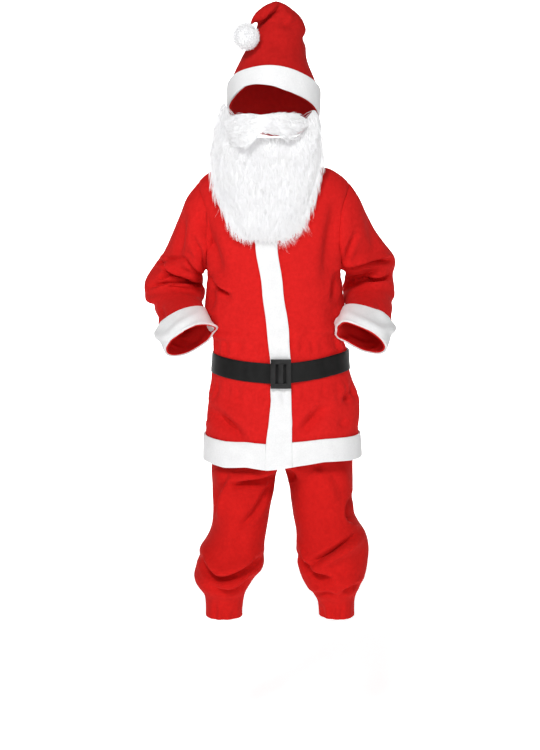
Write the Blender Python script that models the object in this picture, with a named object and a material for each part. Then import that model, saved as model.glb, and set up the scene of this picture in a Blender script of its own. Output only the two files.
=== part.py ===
"""A child's Santa suit, hollow and open, in the pose of a standing wearer who isn't there.

Hat with brim and pompom, false beard with moustache and elastic, belted jacket and trousers.
Metres, +Z up, the front faces -Y and the wearer's left is +X. The origin is the middle of the
jacket's neck opening, where the shoulders carry it. Tables are in millimetres and degrees.
"""
import math
from collections import namedtuple

import bpy
from mathutils import Vector

MM = 0.001
SEAM_GAP = 0.3 * MM
FELT = 2.4 * MM
PLUSH = 4.0 * MM
STRAP = 1.8 * MM
CASING = 3.0 * MM
SAME_POINT = 6

# The jacket's cross-sections, from the hem up to the neck edge. Each is a rounded loop through
# its right side, front middle, left side and back middle.
Section = namedtuple("Section", "right_x left_x side_z front_y front_z back_y back_z armhole")
JACKET = [
    Section(-145, 166, -573, -117, -577, 118, -573, 0),
    Section(-143, 162, -521, -115, -525, 116, -521, 0),
    Section(-141, 164, -482, -113, -486, 113, -482, 0),
    Section(-137, 161, -438, -111, -446, 108, -438, 0),
    Section(-128, 143, -394, -106, -408, 101, -394, 0),
    Section(-126, 140, -355, -105, -369, 99, -355, 0),
    Section(-129, 128, -318, -110, -326, 105, -318, 0),
    Section(-134, 124, -272, -112, -276, 108, -272, 0),
    Section(-138, 125, -234, -111, -234, 107, -234, 0),
    Section(-138, 126, -197, -109, -197, 105, -197, 0),
    Section(-145, 132, -150, -105, -152, 102, -150, 23),
    Section(-151, 138, -102, -98, -108, 97, -102, 28),
    Section(-155, 142, -60, -88, -74, 88, -58, 22),
    Section(-154, 139, -27, -79, -50, 76, -28, 0),
    Section(-126, 110, -6, -71, -36, 65, -10, 0),
    Section(-98, 82, 5, -64, -28, 57, 2, 0),
    Section(-70, 54, 12, -57, -24, 50, 10, 0),
]
ARMPIT, SHOULDER = 9, 13
HEM_TRIM_TOP = 1
BELT_BOTTOM, BELT_TOP = 4, 5
CHEST_SQUARENESS = 0.88
JACKET_ROWS_PER_SECTION = [1, 2, 2, 2, 1, 2, 2, 2, 2, 3, 3, 3, 2, 1, 1, 1]
FRONT_COLUMNS = 6
BACK_COLUMNS = 12
UNDERLAP_STEP, UNDERLAP_DEPTH = 4, 2.9

# The white front band's two edges, as heights and places across the front.
BandEdge = namedtuple("BandEdge", "z right_x left_x")
FRONT_BAND = [
    BandEdge(-577, -24, 29),
    BandEdge(-525, -22, 28),
    BandEdge(-480, -16, 28),
    BandEdge(-440, -12, 27),
    BandEdge(-371, -13, 26),
    BandEdge(-304, -20, 22),
    BandEdge(-227, -29, 11),
    BandEdge(-140, -42, 0),
    BandEdge(-70, -44, -2),
    BandEdge(-20, -34, 6),
]

# A sleeve's rings from the armhole down, each through an outer and an inner point.
Ring = namedtuple("Ring", "outer_x outer_z inner_x inner_z centre_y half_depth lean")
LEFT_SLEEVE = [
    Ring(139, -27, 126, -197, 0, 50, 0),
    Ring(163, -60, 135, -201, 6, 50, 0),
    Ring(182, -102, 138, -208, 30, 55, 0),
    Ring(207, -138, 140, -218, 58, 58, 0),
    Ring(233, -165, 138, -226, 82, 60, 4),
    Ring(241, -184, 137, -234, 92, 60, 8),
    Ring(236, -206, 137, -243, 86, 58, 12),
    Ring(237, -230, 137, -251, 69, 56, 16),
    Ring(234, -257, 136, -259, 43, 54, 20),
    Ring(230, -285, 135, -266, 8, 51, 24),
    Ring(224, -309, 131, -269, -36, 48, 28),
    Ring(207, -345, 117, -298, -84, 46, 30),
]
RIGHT_SLEEVE = [
    Ring(-154, -27, -138, -197, 0, 50, 0),
    Ring(-181, -62, -147, -201, 6, 50, 0),
    Ring(-195, -98, -150, -208, 30, 55, 0),
    Ring(-213, -136, -153, -219, 54, 58, 0),
    Ring(-230, -168, -153, -230, 76, 58, 4),
    Ring(-254, -194, -151, -236, 90, 60, 8),
    Ring(-268, -226, -149, -246, 86, 60, 12),
    Ring(-265, -250, -147, -254, 70, 57, 16),
    Ring(-248, -270, -146, -261, 44, 54, 20),
    Ring(-240, -292, -145, -268, 10, 51, 24),
    Ring(-233, -318, -141, -273, -32, 48, 28),
    Ring(-213, -351, -126, -300, -74, 46, 30),
]
CUFF_TRIM_RING = 10
SLEEVE_ROWS_PER_RING = [2, 1, 1, 2, 2, 2, 2, 2, 1, 1, 2]
ARMHOLE_REACH = 2.5

# A soft fold runs between two places on a surface; a place is a level and an angle round it.
Fold = namedtuple("Fold", "level angle to_level to_angle width depth")
JACKET_FOLDS = [
    Fold(8.4, -66, 7.2, -44, 14, -7),
    Fold(8.0, 74, 7.0, 54, 14, -6),
    Fold(6.3, -62, 5.6, -34, 16, -4),
    Fold(6.4, 60, 5.6, 36, 16, -4),
    Fold(12.2, -50, 9.6, -58, 16, -5),
    Fold(12.2, 48, 9.4, 58, 16, -5),
    Fold(6.0, 150, 7.6, 118, 18, -6),
    Fold(6.0, 208, 7.8, 244, 18, -6),
    Fold(6.0, 178, 8.6, 184, 20, -5),
    Fold(3.4, -70, 1.8, -30, 20, -6),
    Fold(3.2, 74, 2.0, 34, 22, -6),
    Fold(3.4, 160, 1.0, 150, 20, -6),
    Fold(3.4, 205, 1.0, 216, 20, -6),
]
LEFT_SLEEVE_FOLDS = [
    Fold(6.15, 20, 6.0, 150, 9, -13),
    Fold(7.7, 5, 7.5, 78, 8, -11),
    Fold(6.9, 30, 6.8, 140, 10, 5),
    Fold(6.1, -20, 6.3, -120, 12, -9),
    Fold(7.4, -60, 7.5, -150, 12, -7),
    Fold(3.2, 60, 5.2, 135, 12, -7),
    Fold(9.2, 10, 8.4, 70, 12, -6),
]
RIGHT_SLEEVE_FOLDS = [
    Fold(4.9, 10, 5.1, 130, 9, -11),
    Fold(6.2, 40, 6.9, 130, 9, -12),
    Fold(6.9, 5, 7.1, 70, 9, -9),
    Fold(5.1, -20, 5.3, -120, 12, -9),
    Fold(7.2, -50, 7.4, -150, 12, -8),
    Fold(2.6, 60, 4.6, 130, 12, -7),
    Fold(9.2, 10, 8.5, 60, 12, -6),
]
FOLD_ROW_LENGTH = 26
FOLD_RADIUS = 56

# The trousers' seat above the crotch, as half loops, and each leg's rings below it.
Seat = namedtuple("Seat", "right_x left_x z front_y back_y")
SEAT = [
    Seat(-122.5, 136.5, -374, -98.4, 96.8),
    Seat(-122.5, 137, -402, -98.4, 97.6),
    Seat(-125, 142, -450, -98, 97),
    Seat(-130, 149, -510, -98, 98),
    Seat(-132, 152, -573, -94, 92),
]
Leg = namedtuple("Leg", "outer_x inner_x z front_y back_y")
RIGHT_LEG = [
    Leg(-132, 2, -594, -92, 88),
    Leg(-129, -5, -635, -88, 84),
    Leg(-128, -14, -669, -86, 80),
    Leg(-128, -17, -697, -86, 78),
    Leg(-138, -22, -724, -88, 76),
    Leg(-150, -25, -742, -90, 75),
    Leg(-156, -28, -764, -91, 74),
    Leg(-163, -28, -783, -91, 74),
    Leg(-167, -39, -804, -89, 73),
    Leg(-163, -51, -820, -84, 68),
    Leg(-153, -59, -832, -74, 60),
    Leg(-145, -64, -842, -62, 50),
    Leg(-143, -67, -860, -58, 46),
    Leg(-142, -68, -884, -57, 45),
]
LEFT_LEG = [
    Leg(152, 13, -594, -92, 88),
    Leg(152, 24, -635, -88, 84),
    Leg(153, 30, -672, -86, 80),
    Leg(164, 34, -695, -87, 79),
    Leg(178, 38, -713, -89, 78),
    Leg(183, 40, -735, -91, 77),
    Leg(184, 41, -755, -92, 76),
    Leg(181, 45, -777, -92, 76),
    Leg(177, 50, -800, -90, 74),
    Leg(169, 56, -820, -86, 70),
    Leg(160, 67, -836, -74, 60),
    Leg(156, 78, -847, -62, 50),
    Leg(156, 82, -862, -58, 46),
    Leg(156, 83, -884, -57, 45),
]
CROTCH_X = 8
SEAT_ROWS_PER_SECTION = [1, 1, 2, 2]
LEG_ROWS_PER_SECTION = [2, 1, 1, 1, 1, 2, 1, 2, 1, 1, 1, 1, 1]
LEG_OUTER_COLUMNS = 12
LEG_INNER_COLUMNS = 7
HIP_SQUARENESS = 0.9
# On a leg the level is a height in millimetres and the angle turns from the front to the left.
RIGHT_LEG_FOLDS = [
    Fold(-772, -95, -799, -12, 13, -14),
    Fold(-799, -12, -772, 78, 12, -12),
    Fold(-824, 10, -804, 84, 9, -7),
    Fold(-616, -8, -612, 52, 12, -8),
    Fold(-618, 62, -705, 14, 13, -5),
    Fold(-600, -66, -690, -58, 12, -8),
    Fold(-720, 120, -745, 190, 14, -8),
    Fold(-780, 150, -792, 240, 14, -9),
    Fold(-640, 150, -670, 200, 16, -6),
]
LEFT_LEG_FOLDS = [
    Fold(-796, -28, -744, 58, 12, -14),
    Fold(-776, -72, -818, 4, 11, -10),
    Fold(-664, 62, -688, 84, 9, -9),
    Fold(-606, -40, -640, -62, 14, -7),
    Fold(-597, -6, -618, 2, 9, -5),
    Fold(-720, 130, -748, 200, 14, -8),
    Fold(-780, 120, -794, 210, 14, -9),
    Fold(-640, 160, -672, 210, 16, -6),
]

# The hat's rings from brim to tail: a point on its right, one on its left, and the depth.
HatRing = namedtuple("HatRing", "right_x right_z left_x left_z centre_y half_depth lean")
HAT = [
    HatRing(-95, 120, 80, 103, 0, 101, 26),
    HatRing(-95, 163, 82, 149, 2, 97, 24),
    HatRing(-83, 191, 70, 181, 4, 86, 20),
    HatRing(-72, 214, 59, 211, 5, 75, 16),
    HatRing(-60, 236, 56, 240, 4, 64, 12),
    HatRing(-47, 258, 55, 266, 2, 55, 9),
    HatRing(-42, 272, 53, 290, -2, 46, 8),
    HatRing(-40, 279, 42, 303, -8, 37, 8),
    HatRing(-39, 283, 26, 316, -14, 30, 8),
    HatRing(-39, 285, 7, 326, -20, 25, 6),
    HatRing(-40, 286, -13, 324, -27, 21, 4),
    HatRing(-42, 286, -32, 313, -34, 17, 2),
    HatRing(-44, 285, -46, 298, -39, 13, 0),
]
HAT_TIP = (-53.5, -49.5, 277.5)
HAT_COLUMNS = 22
BRIM_RING = 1
HAT_FOLDS = [
    Fold(7.0, -60, 9.2, -20, 9, -6),
    Fold(5.6, 40, 7.2, 70, 14, -4),
    Fold(2.2, 150, 4.6, 200, 16, -6),
    Fold(3.4, 210, 6.0, 250, 14, -5),
]
POMPOM_CENTRE = (-60, -65, 256)
POMPOM_RADIUS = 28 * MM
POMPOM_LUMPS = 9
POMPOM_LUMP_HEIGHT = 1.4 * MM

# The beard's rows from its top edge down, and the moustache's slices from its right tip.
BeardRow = namedtuple("BeardRow", "z centre_x half_width side_y front_y")
BEARD = [
    BeardRow(126, -16, 84, -26, -92),
    BeardRow(96, -17, 90, -38, -99),
    BeardRow(66, -19, 95, -50, -104),
    BeardRow(34, -21, 98, -60, -106),
    BeardRow(0, -22, 97, -68, -107),
    BeardRow(-34, -22, 90, -76, -107),
    BeardRow(-64, -20, 78, -84, -107),
    BeardRow(-92, -22, 65, -93, -108),
    BeardRow(-116, -24, 50, -101, -110),
    BeardRow(-132, -28, 30, -105.2, -109.3),
]
BEARD_CHIN_Z, BEARD_CHEEK_Z = 64, 123
BEARD_COLUMNS = 16
BEARD_ROWS = 11
BEARD_PILE = 16 * MM
BEARD_EDGE = 9 * MM
Slice = namedtuple("Slice", "x y z half_height half_depth")
MOUSTACHE = [
    Slice(-101, -97.3, 91, 5, 5),
    Slice(-87, -116, 79, 23, 9),
    Slice(-68, -129, 75, 32, 11),
    Slice(-50, -136.5, 78, 28, 11),
    Slice(-32, -139, 87, 17, 9),
    Slice(-12, -138, 87, 19, 11),
    Slice(10, -133, 87, 21, 11),
    Slice(32, -120, 87, 20, 9),
    Slice(46, -108.5, 89, 13, 7),
    Slice(56, -99, 91, 5, 5),
]
MOUSTACHE_SIDES = 10
MOUSTACHE_STEPS = 2
# The elastic runs from one top corner of the beard round the back of the head to the other.
Strap = namedtuple("Strap", "x y z")
ELASTIC = [
    Strap(69, -34, 97),
    Strap(61, 0, 97),
    Strap(51, 30, 98),
    Strap(30, 58, 98),
    Strap(-16, 73, 99),
    Strap(-62, 58, 101),
    Strap(-82, 30, 104),
    Strap(-92, 0, 107),
    Strap(-101, -34, 110),
]
ELASTIC_WIDTH, ELASTIC_THICK = 6 * MM, 1.2 * MM
ELASTIC_STEPS = 20

BUCKLE_CENTRE_X, BUCKLE_CENTRE_Z = 7 * MM, -388 * MM
BUCKLE_WIDTH, BUCKLE_HEIGHT, BUCKLE_THICK = 40 * MM, 57 * MM, 5 * MM
BUCKLE_BORDER, BUCKLE_BAR = 9.5 * MM, 10 * MM
BUCKLE_BEVEL = 1.2 * MM

RED, WHITE, BLACK, FUR = "red_felt", "white_plush", "black_strap", "white_fur"
PLASTIC, WEB = "black_plastic", "white_elastic"
FINISHES = {
    RED: ((0.62, 0.012, 0.014), 0.95),
    WHITE: ((0.86, 0.86, 0.85), 0.95),
    FUR: ((0.88, 0.88, 0.87), 0.9),
    BLACK: ((0.012, 0.012, 0.013), 0.45),
    PLASTIC: ((0.02, 0.02, 0.021), 0.35),
    WEB: ((0.8, 0.8, 0.78), 0.8),
}


def clear_scene():
    for thing in list(bpy.data.objects):
        bpy.data.objects.remove(thing)


def finish(name):
    """The material of that name: a Principled BSDF in the piece's colour."""
    if name in bpy.data.materials:
        return bpy.data.materials[name]
    colour, roughness = FINISHES[name]
    material = bpy.data.materials.new(name)
    material.use_nodes = True
    shader = material.node_tree.nodes["Principled BSDF"]
    shader.inputs["Base Color"].default_value = (*colour, 1)
    shader.inputs["Roughness"].default_value = roughness
    shader.inputs["Metallic"].default_value = 0
    return material


def add_object(name, points, faces, material):
    mesh = bpy.data.meshes.new(name)
    mesh.from_pydata([tuple(p) for p in points], [], faces)
    mesh.validate()
    mesh.shade_smooth()
    mesh.set_sharp_from_angle(angle=math.radians(50))
    thing = bpy.data.objects.new(name, mesh)
    thing.data.materials.append(finish(material))
    bpy.context.scene.collection.objects.link(thing)
    return thing


def between(rows, level):
    """The table's values at a level between its rows, on a smooth curve through them."""
    last = len(rows) - 1
    level = min(max(level, 0), last)
    i = min(int(level), last - 1)
    t = level - i
    before, start, end, after = (rows[min(max(k, 0), last)] for k in (i - 1, i, i + 1, i + 2))
    mixed = []
    for a, b, c, d in zip(before, start, end, after):
        curve = 2 * b + (c - a) * t + (2 * a - 5 * b + 4 * c - d) * t ** 2
        curve += (3 * b - a - 3 * c + d) * t ** 3
        mixed.append(curve / 2)
    return type(rows[0])(*mixed)


def levels(steps):
    """The levels of the mesh rows: each table section is divided in its number of steps."""
    found = [section + k / count for section, count in enumerate(steps) for k in range(count)]
    return found + [len(steps)]


def fold_depth(folds, level, angle, row_length, radius):
    """How far the folds move the cloth there, in millimetres: down in a trough, up on a ridge."""
    moved = 0.0
    for fold in folds:
        turn = (angle - fold.angle + 180) % 360 - 180
        run = (fold.to_level - fold.level) * row_length
        across = math.radians(fold.to_angle - fold.angle) * radius
        here = ((level - fold.level) * row_length, math.radians(turn) * radius)
        share = (here[0] * run + here[1] * across) / (run ** 2 + across ** 2)
        share = min(max(share, 0), 1)
        away = math.hypot(here[0] - share * run, here[1] - share * across)
        taper = math.sin(math.pi * (0.15 + 0.7 * share))
        moved += fold.depth * taper * math.exp(-((away / fold.width) ** 2))
    return moved


def bow(value, squareness):
    """A sine or cosine drawn outwards, so that an ellipse becomes a rounder square."""
    return math.copysign(abs(value) ** squareness, value)


class Cloth:
    """One garment's whole surface. Panels share their points at the seams, so that their
    walls are parallel there, and each face knows the panel that it is cut in."""

    def __init__(self):
        self.points = []
        self.found = {}
        self.faces = []
        self.panels = []

    def point(self, place):
        key = tuple(round(value, SAME_POINT) for value in place)
        if key not in self.found:
            self.found[key] = len(self.points)
            self.points.append(Vector(place))
        return self.found[key]

    def rows(self, grid, panel, closed=False):
        """Faces between rows of points. The rows run so that the faces look outwards."""
        numbers = [[self.point(place) for place in row] for row in grid]
        for lower, upper in zip(numbers, numbers[1:]):
            count = len(lower) if closed else len(lower) - 1
            for i in range(count):
                j = (i + 1) % len(lower)
                self.face((lower[i], lower[j], upper[j], upper[i]), panel)

    def face(self, corners, panel):
        """A triangle, or a four-sided face cut in two along its shorter diagonal, so that what
        lies on the cloth bends along the same lines as the cloth."""
        corners = tuple(dict.fromkeys(corners))
        if len(corners) == 4:
            a, b, c, d = corners
            short = (self.points[a] - self.points[c]).length < (self.points[b] - self.points[d]).length
            halves = [(a, b, c), (a, c, d)] if short else [(a, b, d), (b, c, d)]
        else:
            halves = [corners]
        for half in halves:
            self.faces.append(half)
            self.panels.append(panel)

    def normals(self):
        total = [Vector((0, 0, 0)) for _ in self.points]
        for corners in self.faces:
            for k, here in enumerate(corners):
                ahead = self.points[corners[(k + 1) % len(corners)]] - self.points[here]
                behind = self.points[corners[k - 1]] - self.points[here]
                total[here] += ahead.cross(behind).normalized() * ahead.angle(behind, 0)
        return [normal.normalized() for normal in total]

    def panel(self, name, parts, material, thick, lift=0.0, floor=0.0):
        """A closed wall of the faces in those panels. Its outer side is the surface raised by
        lift, or with floor its inner side is, and its free edges keep half a seam's gap.
        lift, floor and thick are in metres, or functions of the point."""
        chosen = [f for f, owner in zip(self.faces, self.panels) if owner in parts]
        edges = {}
        for corners in chosen:
            for k, here in enumerate(corners):
                edges[(here, corners[(k + 1) % len(corners)])] = corners
        rim = [edge for edge in edges if edge[::-1] not in edges]
        inward = {}
        for a, b in rim:
            corners = edges[(a, b)]
            middle = sum((self.points[c] for c in corners), Vector()) / len(corners)
            along = (self.points[b] - self.points[a]).normalized()
            towards = middle - self.points[a]
            towards = (towards - along * towards.dot(along)).normalized()
            for end in (a, b):
                inward[end] = inward.get(end, Vector()) + towards
        used = sorted({c for corners in chosen for c in corners})
        order = {c: k for k, c in enumerate(used)}
        count = len(used)
        normals = self.normals()
        outer, inner = [], []
        for c in used:
            place = self.points[c].copy()
            if c in inward:
                flat = inward[c] - normals[c] * inward[c].dot(normals[c])
                place += flat.normalized() * (SEAM_GAP / 2)
            wall = thick(self.points[c]) if callable(thick) else thick
            top = floor + wall if floor else lift
            outer.append(place + normals[c] * top)
            inner.append(place + normals[c] * (top - wall))
        faces = [tuple(order[c] for c in corners) for corners in chosen]
        faces += [tuple(order[c] + count for c in reversed(corners)) for corners in chosen]
        for a, b in rim:
            i, j = order[a], order[b]
            if a < b:
                faces += [(j, i, j + count), (i, i + count, j + count)]
            else:
                faces += [(j, i, i + count), (j, i + count, j + count)]
        return add_object(name, outer + inner, faces, material)


def band_edges(z):
    """The front band's right and left edge at a height, in millimetres."""
    if z <= FRONT_BAND[0].z:
        return FRONT_BAND[0].right_x, FRONT_BAND[0].left_x
    for low, high in zip(FRONT_BAND, FRONT_BAND[1:]):
        if z <= high.z:
            share = (z - low.z) / (high.z - low.z)
            share = share * share * (3 - 2 * share)
            right = low.right_x + (high.right_x - low.right_x) * share
            return right, low.left_x + (high.left_x - low.left_x) * share
    return FRONT_BAND[-1].right_x, FRONT_BAND[-1].left_x


def jacket_place(level, angle, sunk=0.0):
    """A point of the jacket's body. The angle turns from the front to the wearer's left."""
    row = between(JACKET, level)
    turn = math.radians(angle)
    side, ahead = math.sin(turn), math.cos(turn)
    half_width = (row.left_x - row.right_x) / 2
    x = (row.left_x + row.right_x) / 2 + half_width * bow(side, CHEST_SQUARENESS)
    reach_y, reach_z = (-row.front_y, row.front_z) if ahead > 0 else (row.back_y, row.back_z)
    y = -reach_y * bow(ahead, CHEST_SQUARENESS)
    z = row.side_z + (reach_z - row.side_z) * ahead ** 2
    moved = fold_depth(JACKET_FOLDS, level, angle, 40, 120) if level < SHOULDER else 0
    slope = min(max((level - ARMPIT - 1) / 5, 0), 1)
    outwards = Vector((side, -ahead, slope))
    return (Vector((x, y, z)) + outwards * (moved - sunk)) * MM


def jacket_angle(level, x):
    """The angle at which the jacket's front passes a place across it."""
    row = between(JACKET, level)
    half_width = (row.left_x - row.right_x) / 2
    share = (x - (row.left_x + row.right_x) / 2) / half_width
    return math.degrees(math.asin(bow(share, 1 / CHEST_SQUARENESS)))


def spread(start, end, count):
    return [start + (end - start) * k / count for k in range(count + 1)]


def jacket_columns(level):
    """The angles of the mesh columns at a level, for the left front, back and right front."""
    row = between(JACKET, level)
    opened = row.armhole if ARMPIT < level < SHOULDER else 0
    right_x, left_x = band_edges(row.front_z)
    right, left, step = (jacket_angle(level, x) for x in (right_x, left_x, right_x - UNDERLAP_STEP))
    band = [right, (right + left) / 2, left]
    left_front = band[:2] + spread(left, 90 - opened, FRONT_COLUMNS)
    back = spread(90 + opened, 270 - opened, BACK_COLUMNS)
    right_front = spread(-90 + opened, step, FRONT_COLUMNS) + band[:2]
    return left_front, back, right_front


def sleeve_ring(ring, folds, level, count, side):
    """The ring's points from its outer point round the front, for the left sleeve."""
    centre = Vector(((ring.outer_x + ring.inner_x) / 2, ring.centre_y, (ring.outer_z + ring.inner_z) / 2))
    reach = Vector((ring.outer_x - ring.inner_x, 0, ring.outer_z - ring.inner_z)) / 2
    up = Vector((-reach.z, 0, reach.x)).normalized() * side
    lean = math.radians(ring.lean)
    ahead = Vector((0, -math.cos(lean), 0)) + up * math.sin(lean)
    found = []
    for k in range(count):
        turn = 2 * math.pi * k / count * side
        out = reach * math.cos(turn) + ahead * (ring.half_depth * math.sin(turn) * side) * side
        angle = math.degrees(turn) * side
        angle = angle if angle <= 180 else angle - 360
        moved = fold_depth(folds, level, angle * side, FOLD_ROW_LENGTH, FOLD_RADIUS)
        found.append((centre + out + out.normalized() * moved) * MM)
    return found


def build_sleeve(cloth, name, table, folds, front_edge, back_edge, side):
    """The sleeve's tube, hung on the armhole's points and divided in sleeve and cuff rows."""
    down, up = list(reversed(front_edge)), back_edge[1:-1]
    armhole = down + up
    if side < 0:
        armhole = [armhole[0]] + list(reversed(armhole[1:]))
    count = len(armhole)
    start = sleeve_ring(table[0], [], 0, count, side)
    grid = []
    for level in levels(SLEEVE_ROWS_PER_RING):
        ring = sleeve_ring(between(table, level), folds, level, count, side)
        share = max(1 - level / ARMHOLE_REACH, 0) ** 1.5
        grid.append([place + (hole - fit) * share for place, hole, fit in zip(ring, armhole, start)])
    cuff_row = sum(SLEEVE_ROWS_PER_RING[:CUFF_TRIM_RING])
    cloth.rows(grid[:cuff_row + 1], name, closed=True)
    cloth.rows(grid[cuff_row:], name + "_cuff", closed=True)


def build_jacket():
    cloth = Cloth()
    rows = levels(JACKET_ROWS_PER_SECTION)
    grids = {"front_left": [], "back": [], "front_right": []}
    for level in rows:
        left_front, back, right_front = jacket_columns(level)
        grids["front_left"].append([jacket_place(level, a) for a in left_front])
        grids["back"].append([jacket_place(level, a) for a in back])
        sunk = [0] * (FRONT_COLUMNS + 1) + [UNDERLAP_DEPTH] * 2
        grids["front_right"].append([jacket_place(level, a, s) for a, s in zip(right_front, sunk)])
    zones = {
        "hem": (0, HEM_TRIM_TOP),
        "skirt": (HEM_TRIM_TOP, BELT_BOTTOM),
        "waist": (BELT_BOTTOM, BELT_TOP),
        "chest": (BELT_TOP, len(JACKET) - 1),
    }
    for zone, (low, high) in zones.items():
        first, last = rows.index(low), rows.index(high)
        for panel, grid in grids.items():
            part = grid[first:last + 1]
            if panel == "front_left":
                cloth.rows([row[:3] for row in part], f"band_{zone}")
                cloth.rows([row[2:] for row in part], f"front_left_{zone}")
            elif panel == "front_right":
                cloth.rows([row[:-2] for row in part], f"front_right_{zone}")
                cloth.rows([row[-3:] for row in part], f"underlap_{zone}")
            else:
                cloth.rows(part, f"back_{zone}")
    first, last = rows.index(ARMPIT), rows.index(SHOULDER)
    holes = {panel: grid[first:last + 1] for panel, grid in grids.items()}
    left = [row[-1] for row in holes["front_left"]], [row[0] for row in holes["back"]]
    right = [row[0] for row in holes["front_right"]], [row[-1] for row in holes["back"]]
    build_sleeve(cloth, "sleeve_left", LEFT_SLEEVE, LEFT_SLEEVE_FOLDS, *left, side=1)
    build_sleeve(cloth, "sleeve_right", RIGHT_SLEEVE, RIGHT_SLEEVE_FOLDS, *right, side=-1)

    def all_zones(*columns):
        return [f"{column}_{zone}" for column in columns for zone in zones]

    cloth.panel("jacket_front_left", all_zones("band", "front_left"), RED, FELT)
    cloth.panel("jacket_front_right", all_zones("front_right", "underlap"), RED, FELT)
    cloth.panel("jacket_back", all_zones("back"), RED, FELT)
    for side in ("left", "right"):
        cloth.panel(f"sleeve_{side}", [f"sleeve_{side}", f"sleeve_{side}_cuff"], RED, FELT)
        cloth.panel(f"cuff_trim_{side}", [f"sleeve_{side}_cuff"], WHITE, PLUSH, floor=SEAM_GAP)
    cloth.panel("front_band", all_zones("band"), WHITE, PLUSH, floor=SEAM_GAP)
    hem = ["front_left_hem", "back_hem", "front_right_hem"]
    cloth.panel("hem_trim", hem, WHITE, PLUSH, floor=SEAM_GAP)
    return grids, rows


def build_belt(grids, rows):
    """A strap round the jacket, raised where it passes over the front band."""
    cloth = Cloth()
    first, last = rows.index(BELT_BOTTOM), rows.index(BELT_TOP)
    over_band = PLUSH + 2 * SEAM_GAP
    grid = []
    panels = [grids[name][first:last + 1] for name in ("front_left", "back", "front_right")]
    for left, back, right in zip(*panels):
        ring = left + back[1:] + right[1:-2]
        lifted = []
        for k, place in enumerate(ring):
            away = Vector((place.x, place.y, 0)).normalized()
            lifted.append(place + away * (over_band if k < 3 else SEAM_GAP * 1.5))
        grid.append(lifted)
    cloth.rows(grid, "belt", closed=True)
    cloth.panel("belt", ["belt"], BLACK, STRAP, floor=SEAM_GAP)
    return max(-place.y for row in grid for place in row[:3])


def build_buckle(front):
    """A moulded frame with a middle bar, lying on the belt."""
    y_back = -front - STRAP - 2 * SEAM_GAP
    half_w, half_h = BUCKLE_WIDTH / 2, BUCKLE_HEIGHT / 2
    inner_w, half_bar = half_w - BUCKLE_BORDER, BUCKLE_BAR / 2
    xs = [-half_w, -inner_w, -half_bar, half_bar, inner_w, half_w]
    zs = [-half_h, -half_h + BUCKLE_BORDER, half_h - BUCKLE_BORDER, half_h]
    cloth = Cloth()
    windows = {(1, 1), (3, 1)}
    for i in range(len(xs) - 1):
        for j in range(len(zs) - 1):
            if (i, j) in windows:
                continue
            (x0, x1), (z0, z1) = xs[i:i + 2], zs[j:j + 2]
            corners = [(x0, z0), (x1, z0), (x1, z1), (x0, z1)]
            centre = Vector((BUCKLE_CENTRE_X, y_back, BUCKLE_CENTRE_Z))
            places = [centre + Vector((x, 0, z)) for x, z in corners]
            cloth.face(tuple(cloth.point(place) for place in places), "frame")
    frame = cloth.panel("buckle", ["frame"], PLASTIC, BUCKLE_THICK, floor=SEAM_GAP)
    bevel = frame.modifiers.new("soft_edges", "BEVEL")
    bevel.width = BUCKLE_BEVEL
    bevel.segments = 1
    bevel.limit_method = "ANGLE"


def seat_row(row, side):
    """The half loop from the front middle round the hip to the back middle."""
    hip = row.left_x if side > 0 else row.right_x
    found = []
    for k in range(LEG_OUTER_COLUMNS + 1):
        turn = math.pi * k / LEG_OUTER_COLUMNS
        ahead, out = math.cos(turn), math.sin(turn)
        reach = -row.front_y if ahead > 0 else row.back_y
        x = CROTCH_X + (hip - CROTCH_X) * bow(out, HIP_SQUARENESS)
        found.append(Vector((x, -reach * bow(ahead, HIP_SQUARENESS), row.z)) * MM)
    return found


def leg_ring(row, folds, side):
    """A leg's ring: its outer part like the seat's, then its inner part from back to front."""
    half_width = abs(row.outer_x - row.inner_x) / 2
    centre_x = (row.outer_x + row.inner_x) / 2
    found = []
    for k in range(LEG_OUTER_COLUMNS + LEG_INNER_COLUMNS):
        if k <= LEG_OUTER_COLUMNS:
            turn = math.pi * k / LEG_OUTER_COLUMNS
        else:
            turn = math.pi * (1 + (k - LEG_OUTER_COLUMNS) / LEG_INNER_COLUMNS)
        ahead, out = math.cos(turn), math.sin(turn)
        reach = -row.front_y if ahead > 0 else row.back_y
        sideways = half_width * bow(out, HIP_SQUARENESS) * side
        place = Vector((sideways, -reach * bow(ahead, HIP_SQUARENESS), 0))
        moved = fold_depth(folds, row.z, math.degrees(turn) * side, 1, FOLD_RADIUS)
        place += Vector((out * side, -ahead, 0)) * moved
        found.append((place + Vector((centre_x, 0, row.z))) * MM)
    return found


def crotch_points(row):
    """The seam under the body, from the back middle to the front middle."""
    found = []
    for k in range(1, LEG_INNER_COLUMNS):
        behind = math.cos(math.pi * k / LEG_INNER_COLUMNS)
        reach = row.back_y if behind > 0 else -row.front_y
        found.append(Vector((CROTCH_X, reach * behind, row.z)) * MM)
    return found


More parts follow.
